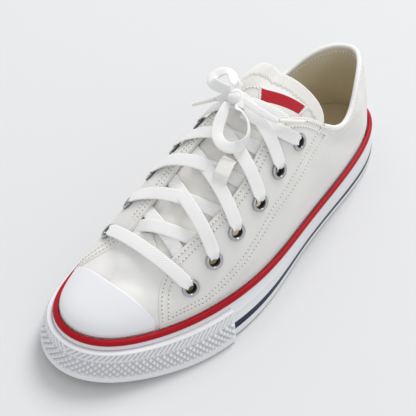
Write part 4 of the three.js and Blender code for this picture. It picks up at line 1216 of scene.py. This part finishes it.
def make_tongue():
    """The tongue with one stitch row near its free end."""
    share = np.concatenate([np.linspace(0, 0.985, 130), [1.0]])[:, None]
    across = np.concatenate([[0], np.linspace(0.012, 0.988, 70), [1]])[None]
    thin = np.zeros((131, 72))
    thin[:, 0] = thin[:, -1] = 0.5
    outer = tongue_point(share, across, thin)
    inner = tongue_point(share, across, TONGUE_THICKNESS - thin)
    piece = slab("tongue_cloth", outer, inner, TONGUE_CLOTH)
    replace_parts(piece, "tongue")
    share, across = np.full(90, TONGUE_ROW_SHARE), np.linspace(0.05, 0.95, 90)
    line = tongue_point(share, across)
    sew(line, unit(line - tongue_point(share, across, 1.0)))
    return piece


def make_overlock():
    """The thread wound over the tongue's free edge: fine ribs square to it with ragged inner ends."""
    across = np.linspace(0.004, 0.996, 420)[:, None]
    rng = np.random.default_rng(5)
    ragged = np.repeat(rng.uniform(-0.7, 0.7, 70), 6)[:, None]
    way = np.concatenate([np.linspace(0, 1, 15), [1.0]])[None]
    rib = np.abs(np.sin(np.arange(420) * math.pi / 6))[:, None]
    share = 1 - (8.6 + ragged) / 116 * (1 - way)
    roll = np.where(way > 0.93, 0.0, 1.0)
    proud = (0.12 + 0.5 * rib) * smooth_step(0, 0.12, way) + 0.1
    reach = 0.9 * smooth_step(0.85, 1.0, way) * np.ones_like(rib)
    outer = tongue_point(share, across, -proud * roll + 0.9 * (1 - roll), reach)
    inner = tongue_point(share, across, TONGUE_THICKNESS + proud * roll - 0.9 * (1 - roll), reach)
    return slab("tongue_overlock", outer, inner, TONGUE_CLOTH)


def tongue_spot(target):
    """The share and across of the tongue's place nearest to a point."""
    share, across = np.meshgrid(np.linspace(0.4, 1, 121), np.linspace(0, 1, 121), indexing="ij")
    gap = np.linalg.norm(tongue_point(share, across) - np.array(target), axis=-1)
    best = np.unravel_index(gap.argmin(), gap.shape)
    return np.array([share[best], across[best]])


def make_label():
    """A plain woven label in two colours, sewn at both ends."""
    corners = [tongue_spot(p) for p in LABEL_CORNERS]
    down, over = np.meshgrid(np.linspace(0, 1, 61), np.linspace(0, 1, 61), indexing="ij")
    weights = ((1 - down) * (1 - over), (1 - down) * over, down * over, down * (1 - over))
    spot = sum(w[..., None] * c for w, c in zip(weights, corners))
    edge = np.zeros(down.shape)
    edge[0] = edge[-1] = edge[:, 0] = edge[:, -1] = 0.3
    outer = tongue_point(spot[..., 0], spot[..., 1], -0.75 + edge)
    inner = tongue_point(spot[..., 0], spot[..., 1], 0.4)
    piece = slab("tongue_label", outer, inner, [LABEL_CLOTH, RED_CLOTH])
    middle = (down[:-1, :-1] + down[1:, 1:]) / 2
    beside = (over[:-1, :-1] + over[1:, 1:]) / 2
    band = ((middle > 0.05) & (middle < 0.42)) | ((middle > 0.88) & (middle < 0.93))
    red = (band & (beside > 0.05) & (beside < 0.94)).astype(np.int32).ravel()
    kinds = np.zeros(len(piece.data.polygons), np.int32)
    kinds[:len(red)] = red
    piece.data.polygons.foreach_set("material_index", kinds)
    for place in (0.05, 0.95):
        row = np.linspace(0.05, 0.95, 30)
        spots = (1 - row[:, None]) * ((1 - place) * corners[0] + place * corners[1])
        spots = spots + row[:, None] * ((1 - place) * corners[3] + place * corners[2])
        line = tongue_point(spots[:, 0], spots[:, 1], -0.75)
        under = tongue_point(spots[:, 0], spots[:, 1], 1.0)
        sew(line, unit(line - under), pitch=1.7, length=1.2, radius=0.18)
    return piece


# ---------------------------------------------------------------- eyelets and laces
def make_eyelets():
    """Twelve rolled rings: a bright crown, and a flank and a tube made darker as painted shade."""
    profile = np.array([
        (2.6, -2.4), (3.0, -2.4), (3.0, 0.3), (4.9, 0.36), (5.2, 0.6), (5.15, 1.0), (4.8, 1.42),
        (4.25, 1.62), (3.7, 1.55), (3.25, 1.2), (2.9, 0.6), (2.7, -0.2),
    ])
    turn = np.linspace(0, 2 * np.pi, 40, endpoint=False)
    for label, degrees, v in eyelet_places():
        centre, normal = last_point(degrees, v), skin_normal(degrees, v)
        side = unit(np.cross(normal, [0.0, 0.0, 1.0]))
        other = np.cross(normal, side)
        circle = np.cos(turn)[:, None] * side + np.sin(turn)[:, None] * other
        rings = centre + circle[:, None] * profile[None, :, :1] + normal * profile[None, :, 1:]
        faces = grid_faces(40, len(profile), close_rows=True, close_columns=True)
        column = np.tile(np.arange(len(profile)), 40)
        # the tube's columns, 0 and 10 up, and the flank's columns 4 and 9 take the painted shade
        kinds = np.where((column == 0) | (column >= 10), 1, np.where((column == 4) | (column == 9), 2, 0))
        piece = make(f"ring_{label}", rings, faces, [METAL, EYELET_TUBE_SHADE, EYELET_FLANK_SHADE], kinds=kinds)
        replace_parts(piece, f"eyelet_{label}")


def ribbon(name, line, up, width, thickness=1.15, curl=0.0, facets=18):
    """A woven tape along a line: a flat rounded section whose edges curl towards up."""
    way = unit(np.gradient(line, axis=0))
    side = unit(np.cross(way, up))
    up = unit(np.cross(side, way))
    angle = np.linspace(0, 2 * np.pi, facets, endpoint=False) + np.pi / facets
    x = np.sign(np.cos(angle)) * np.abs(np.cos(angle)) ** 0.5
    y = np.sign(np.sin(angle)) * np.abs(np.sin(angle)) ** 0.5
    wide = np.broadcast_to(width, len(line))[:, None] / 2
    bend = np.broadcast_to(curl, len(line))[:, None]
    level = y[None] * np.broadcast_to(thickness, len(line))[:, None] / 2 + bend * (x[None] ** 2 - 0.35)
    rings = line[:, None] + side[:, None] * (wide * x[None])[..., None] + up[:, None] * level[..., None]
    faces = drum_faces(len(line), facets)
    run = np.concatenate([[0], np.cumsum(np.linalg.norm(np.diff(line, axis=0), axis=1))])
    uv = np.stack(np.broadcast_arrays(run[:, None], wide * x[None]), axis=-1)
    return make(name, rings, faces, LACE, uv=uv)


def eyelet_station(pair, side):
    """An eyelet's x and its share across the instep."""
    angle_out, v_out, angle_in, v_in = EYELETS[pair]
    degrees, v = (angle_out, v_out) if side > 0 else (-angle_in, v_in)
    return np.array([last_point(degrees, v)[0], side * (1 - v) / (1 - BAND_SHARE)])


def edge_station(pair, side, ahead):
    """A place under the throat's edge, a way in front of a pair of eyelets."""
    return np.array([eyelet_station(pair, side)[0] + ahead, side * EDGE_ACROSS[side]])


def lace_arm(name, start, end, lifts, dives=(True, False), bow=0.0):
    """A lace over the instep between two places, each an x and a share across: its heights over the
    skin at even steps, a sideways bow in x, and at either end a turn down into an eyelet, where it
    narrows and curls."""
    count = 120
    way = np.linspace(0, 1, count)
    x, across = (start[k] + (end[k] - start[k]) * way for k in range(2))
    x = x + bow * np.sin(math.pi * way)
    ground, normal = instep(x, across, BAND_SHARE, 0.0)
    run = np.concatenate([[0], np.cumsum(np.linalg.norm(np.diff(ground, axis=0), axis=1))])
    lift = np.interp(way, np.linspace(0, 1, len(lifts)), lifts)
    lift = np.convolve(np.pad(lift, 6, mode="edge"), np.ones(13) / 13, mode="valid")
    width, curl, keep = np.full(count, LACE_WIDTH), np.full(count, 0.0), np.ones(count, bool)
    gaps, heights = np.array(DIVE).T
    for used, gap in zip(dives, (run, run[-1] - run)):
        if used:
            blend = smooth_step(3.5, 8.0, gap)
            dive = np.interp(np.maximum(gap, gaps[0]), gaps, heights)
            lift = lift * blend + dive * (1 - blend)
            width = width * (0.56 + 0.44 * smooth_step(1.2, 6.5, gap))
            curl = curl + 0.9 * (1 - smooth_step(1.2, 6.5, gap))
            keep &= gap > gaps[0]
    line = ground + normal * lift[:, None]
    data = even(np.column_stack([line, normal, width, curl])[keep], 100)
    kernel = np.ones(5) / 5
    padded = np.pad(data[:, :3], ((2, 2), (0, 0)), mode="edge")
    line = np.stack([np.convolve(column, kernel, mode="valid") for column in padded.T], axis=1)
    return ribbon(name, line, data[:, 3:6], data[:, 6], thickness=1.0, curl=data[:, 7])


def make_laces():
    """The bar, the crossing under it, the crossings up to the last, and the two laces to the knot."""
    bar = lace_arm("lace_over_bar", eyelet_station(0, -1), eyelet_station(0, 1),
                   (2.3, 2.3, 2.5, 2.7, 2.7, 2.7, 2.6, 2.4, 2.3), dives=(True, True), bow=2.2)
    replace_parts(bar, "lace_bar")
    for side in (1, -1):
        lifts = (-2.7, -2.5, -0.4, 0.9 - 0.7 * side, 1.2 - 0.7 * side, 0.9 - 0.7 * side, -0.4, -2.5, -2.7)
        start, end = edge_station(0, side, -5), edge_station(1, -side, 2)
        arm = lace_arm(f"lace_first_{side + 1}", start, end, lifts, dives=(False, False))
        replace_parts(arm, "lace_crossing_1")
    for pair in range(1, 5):
        for side in (1, -1):
            over = (side > 0) != (pair == 2)
            high = 3.3 if over else 1.9
            lifts = (2.3, 2.3, 2.5, high, high, high, high - 0.5, 0.6, -2.4, -2.8, -2.8)
            arm = lace_arm(f"lace_{'outer' if side > 0 else 'inner'}_{pair + 1}", eyelet_station(pair, side),
                           edge_station(pair + 1, -side, 1.5), lifts, bow=1.2)
            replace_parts(arm, f"lace_crossing_{pair + 1}")
    for side, end, bow in ((1, (-9.0, 0.03), 2.8), (-1, (-12.5, -0.16), 0.0)):
        lifts = (2.3, 2.3, 2.5, 2.7, 2.9, 3.2, 3.6, 4.2)
        arm = lace_arm(f"lace_top_{side + 1}", eyelet_station(5, side), end, lifts, bow=bow)
        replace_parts(arm, "lace_top_outer" if side > 0 else "lace_top_inner")


def make_keeper():
    """The tape on the tongue that holds the lace: an arch between two sewn tabs."""
    way = np.linspace(0, 1, 60)
    x = 9.0 + 21.0 * way
    across = 0.20 + 0.13 * way
    lifts = np.array([-3.0, -2.6, -0.2, 3.3, 4.9, 5.2, 5.2, 5.1, 4.8, 3.0, 0.2, -1.7, -1.6, -1.6])
    lift = curve(np.column_stack([np.linspace(0, 1, len(lifts)), lifts]), 200)
    lift = np.interp(way, lift[:, 0], lift[:, 1])
    line, normal = instep(x, across, BAND_SHARE, 0.0)
    line = line + normal * lift[:, None]
    piece = ribbon("keeper_tape", line, normal, 8.6, thickness=1.1)
    piece.data.materials[0] = TONGUE_CLOTH
    side = unit(np.cross(unit(np.gradient(line, axis=0)), normal))
    for k in (3, 56):
        cross = np.linspace(-3.4, 3.4, 12)[:, None]
        row = line[k] + side[k] * cross + normal[k] * 0.55
        sew(row, np.repeat(normal[k][None], len(cross), axis=0), pitch=1.8, length=1.3)
    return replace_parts(piece, "lace_keeper")


def make_knot():
    """The bow's knot: a soft ball with slanting folds of lace round it."""
    turn, drop = np.linspace(0, 2 * np.pi, 72, endpoint=False), np.linspace(0, np.pi, 40)
    around, down = np.meshgrid(turn, drop, indexing="ij")
    fold = np.abs(np.sin(1.5 * around + 1.6 * down)) ** 0.6
    size = 0.86 + 0.16 * fold
    radii = np.array([5.0, 4.8, 4.1])
    ball = np.stack([np.sin(down) * np.cos(around), np.sin(down) * np.sin(around), np.cos(down)], axis=-1)
    points = KNOT_CENTRE + ball * radii * size[..., None]
    points[:, 0], points[:, -1] = points[:, 0].mean(axis=0), points[:, -1].mean(axis=0)
    faces = join_points(points.reshape(-1, 3), grid_faces(72, 40, close_rows=True))
    uv = np.stack([around * 5, down * 5], axis=-1)
    piece = make("bow_knot", points, faces, LACE, uv=uv)
    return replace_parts(piece, "lace_knot")


def make_bow():
    """Two cords, each a loop and a loose end: flat lace that turns its face as it goes round."""
    routes = {
        "front": (FRONT_LOOP, ((-6.8, 0.6, 109.8),), OUTER_END, OUTER_AGLET,
                  "lace_loop_front", "lace_end_outer"),
        "back": (BACK_LOOP, ((-12.6, -8.2, 111.4), (-11.2, -8.8, 109.6)), INNER_END, INNER_AGLET,
                 "lace_loop_back", "lace_end_inner"),
    }
    for label, (loop, through, end, aglet, *nodes) in routes.items():
        route = curve(np.array([*loop, *through, *end, aglet[0]]), 220)
        way = unit(np.gradient(route, axis=0))
        centre = np.array(loop).mean(axis=0)
        radial = unit(route - centre)
        share = np.linspace(0, 1, 220)
        loop_share = line_length(np.array(loop)) / line_length(route)
        leaving = smooth_step(loop_share - 0.05, loop_share + 0.05, share)
        face = smooth_step(0.36, 0.48, share) * (1 - leaving)
        if label == "back":
            face = np.full(220, 0.35)
        hint = unit(VIEW_WAY[None] * (1 - face)[:, None] + radial * face[:, None])
        hint = unit(hint - way * (hint * way).sum(axis=1, keepdims=True))
        width = np.interp(share, (0, 0.05, 0.12, loop_share - 0.06, loop_share + 0.04, 0.9, 1.0),
                          (4.0, 5.4, 6.6, 6.0, 3.8, 4.4, 2.6))
        cord = ribbon(f"bow_{label}", route, hint, width, thickness=1.15, curl=-0.15, facets=20)
        tip = tube(f"aglet_{label}", sections(curve(aglet, 12), *frames(curve(aglet, 12), VIEW_WAY)[1:],
                                              1.15, 1.15, 14), AGLET)
        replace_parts(cord, *nodes)
        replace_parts(tip, "aglet_outer" if label == "front" else "aglet_inner")


# ---------------------------------------------------------------- stage


def make_light(name, place, target, size, power, colour=(1, 1, 1)):
    """A round area light at a place, turned to its target."""
    lamp = bpy.data.lights.new(name, "AREA")
    lamp.shape = "DISK"
    lamp.size = size
    lamp.energy = power
    lamp.color = colour
    thing = bpy.data.objects.new(name, lamp)
    bpy.context.scene.collection.objects.link(thing)
    thing.location = place
    thing.rotation_mode = "QUATERNION"
    thing.rotation_quaternion = (Vector(target) - Vector(place)).to_track_quat("-Z", "Y")
    return thing


def make_stage():
    """A pale paper floor, a soft sky, a high key light from the heel and a weak fill."""
    floor = Finish("floor_paper", (0.70, 0.705, 0.71), 0.9)
    mesh = bpy.data.meshes.new("floor")
    mesh.from_pydata([(-4, -4, 0), (4, -4, 0), (4, 4, 0), (-4, 4, 0)], [], [(0, 1, 2, 3)])
    mesh.materials.append(floor.material)
    ground = bpy.data.objects.new("floor", mesh)
    bpy.context.scene.collection.objects.link(ground)
    world = bpy.data.worlds.new("studio")
    bpy.context.scene.world = world
    world.use_nodes = True
    world.node_tree.nodes["Background"].inputs["Color"].default_value = (0.97, 0.98, 1.0, 1)
    world.node_tree.nodes["Background"].inputs["Strength"].default_value = 0.71
    make_light("key", (-1.9, -0.3, 2.7), (0, 0, 0.04), 1.5, 62, (1.0, 0.99, 0.975))
    make_light("fill", (0.5, 1.2, 0.9), (0, 0, 0.04), 1.4, 1.6, (0.98, 0.99, 1.0))
    bpy.context.scene.view_settings.view_transform = "Standard"


def make_camera():
    """The camera looks down at the shoe's outer side from in front of the toe."""
    camera = bpy.data.cameras.new("camera")
    camera.lens = 86
    camera.sensor_width = 36
    thing = bpy.data.objects.new("camera", camera)
    bpy.context.scene.collection.objects.link(thing)
    eye, aim = (np.array(place) * MM + ORIGIN for place in (CAMERA_PLACE, CAMERA_AIM))
    thing.location = eye
    thing.rotation_mode = "QUATERNION"
    turn = Vector(aim - eye).to_track_quat("-Z", "Y")
    thing.rotation_quaternion = turn @ Quaternion((0.0, 0.0, 1.0), math.radians(CAMERA_ROLL))
    bpy.context.scene.camera = thing


make_stage()
make_camera()
BARS = cutters()
make_upper(BARS)
make_quarter("quarter_outer", 1, BARS)
make_quarter("quarter_inner", -1, BARS)
bpy.data.objects.remove(BARS)
make_heel_strip()
make_collar()
make_cap()
make_foxing()
make_bead()
make_bumper()
make_insole()
make_tongue()
make_overlock()
make_label()
make_keeper()
make_eyelets()
make_laces()
make_knot()
make_bow()
for quarter_side in (1, -1):
    sew_quarter(quarter_side)
make_stitches()
make_needle_hole_shades()
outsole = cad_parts["outsole"]
outsole.data.materials.clear()
outsole.data.materials.append(SOLE)
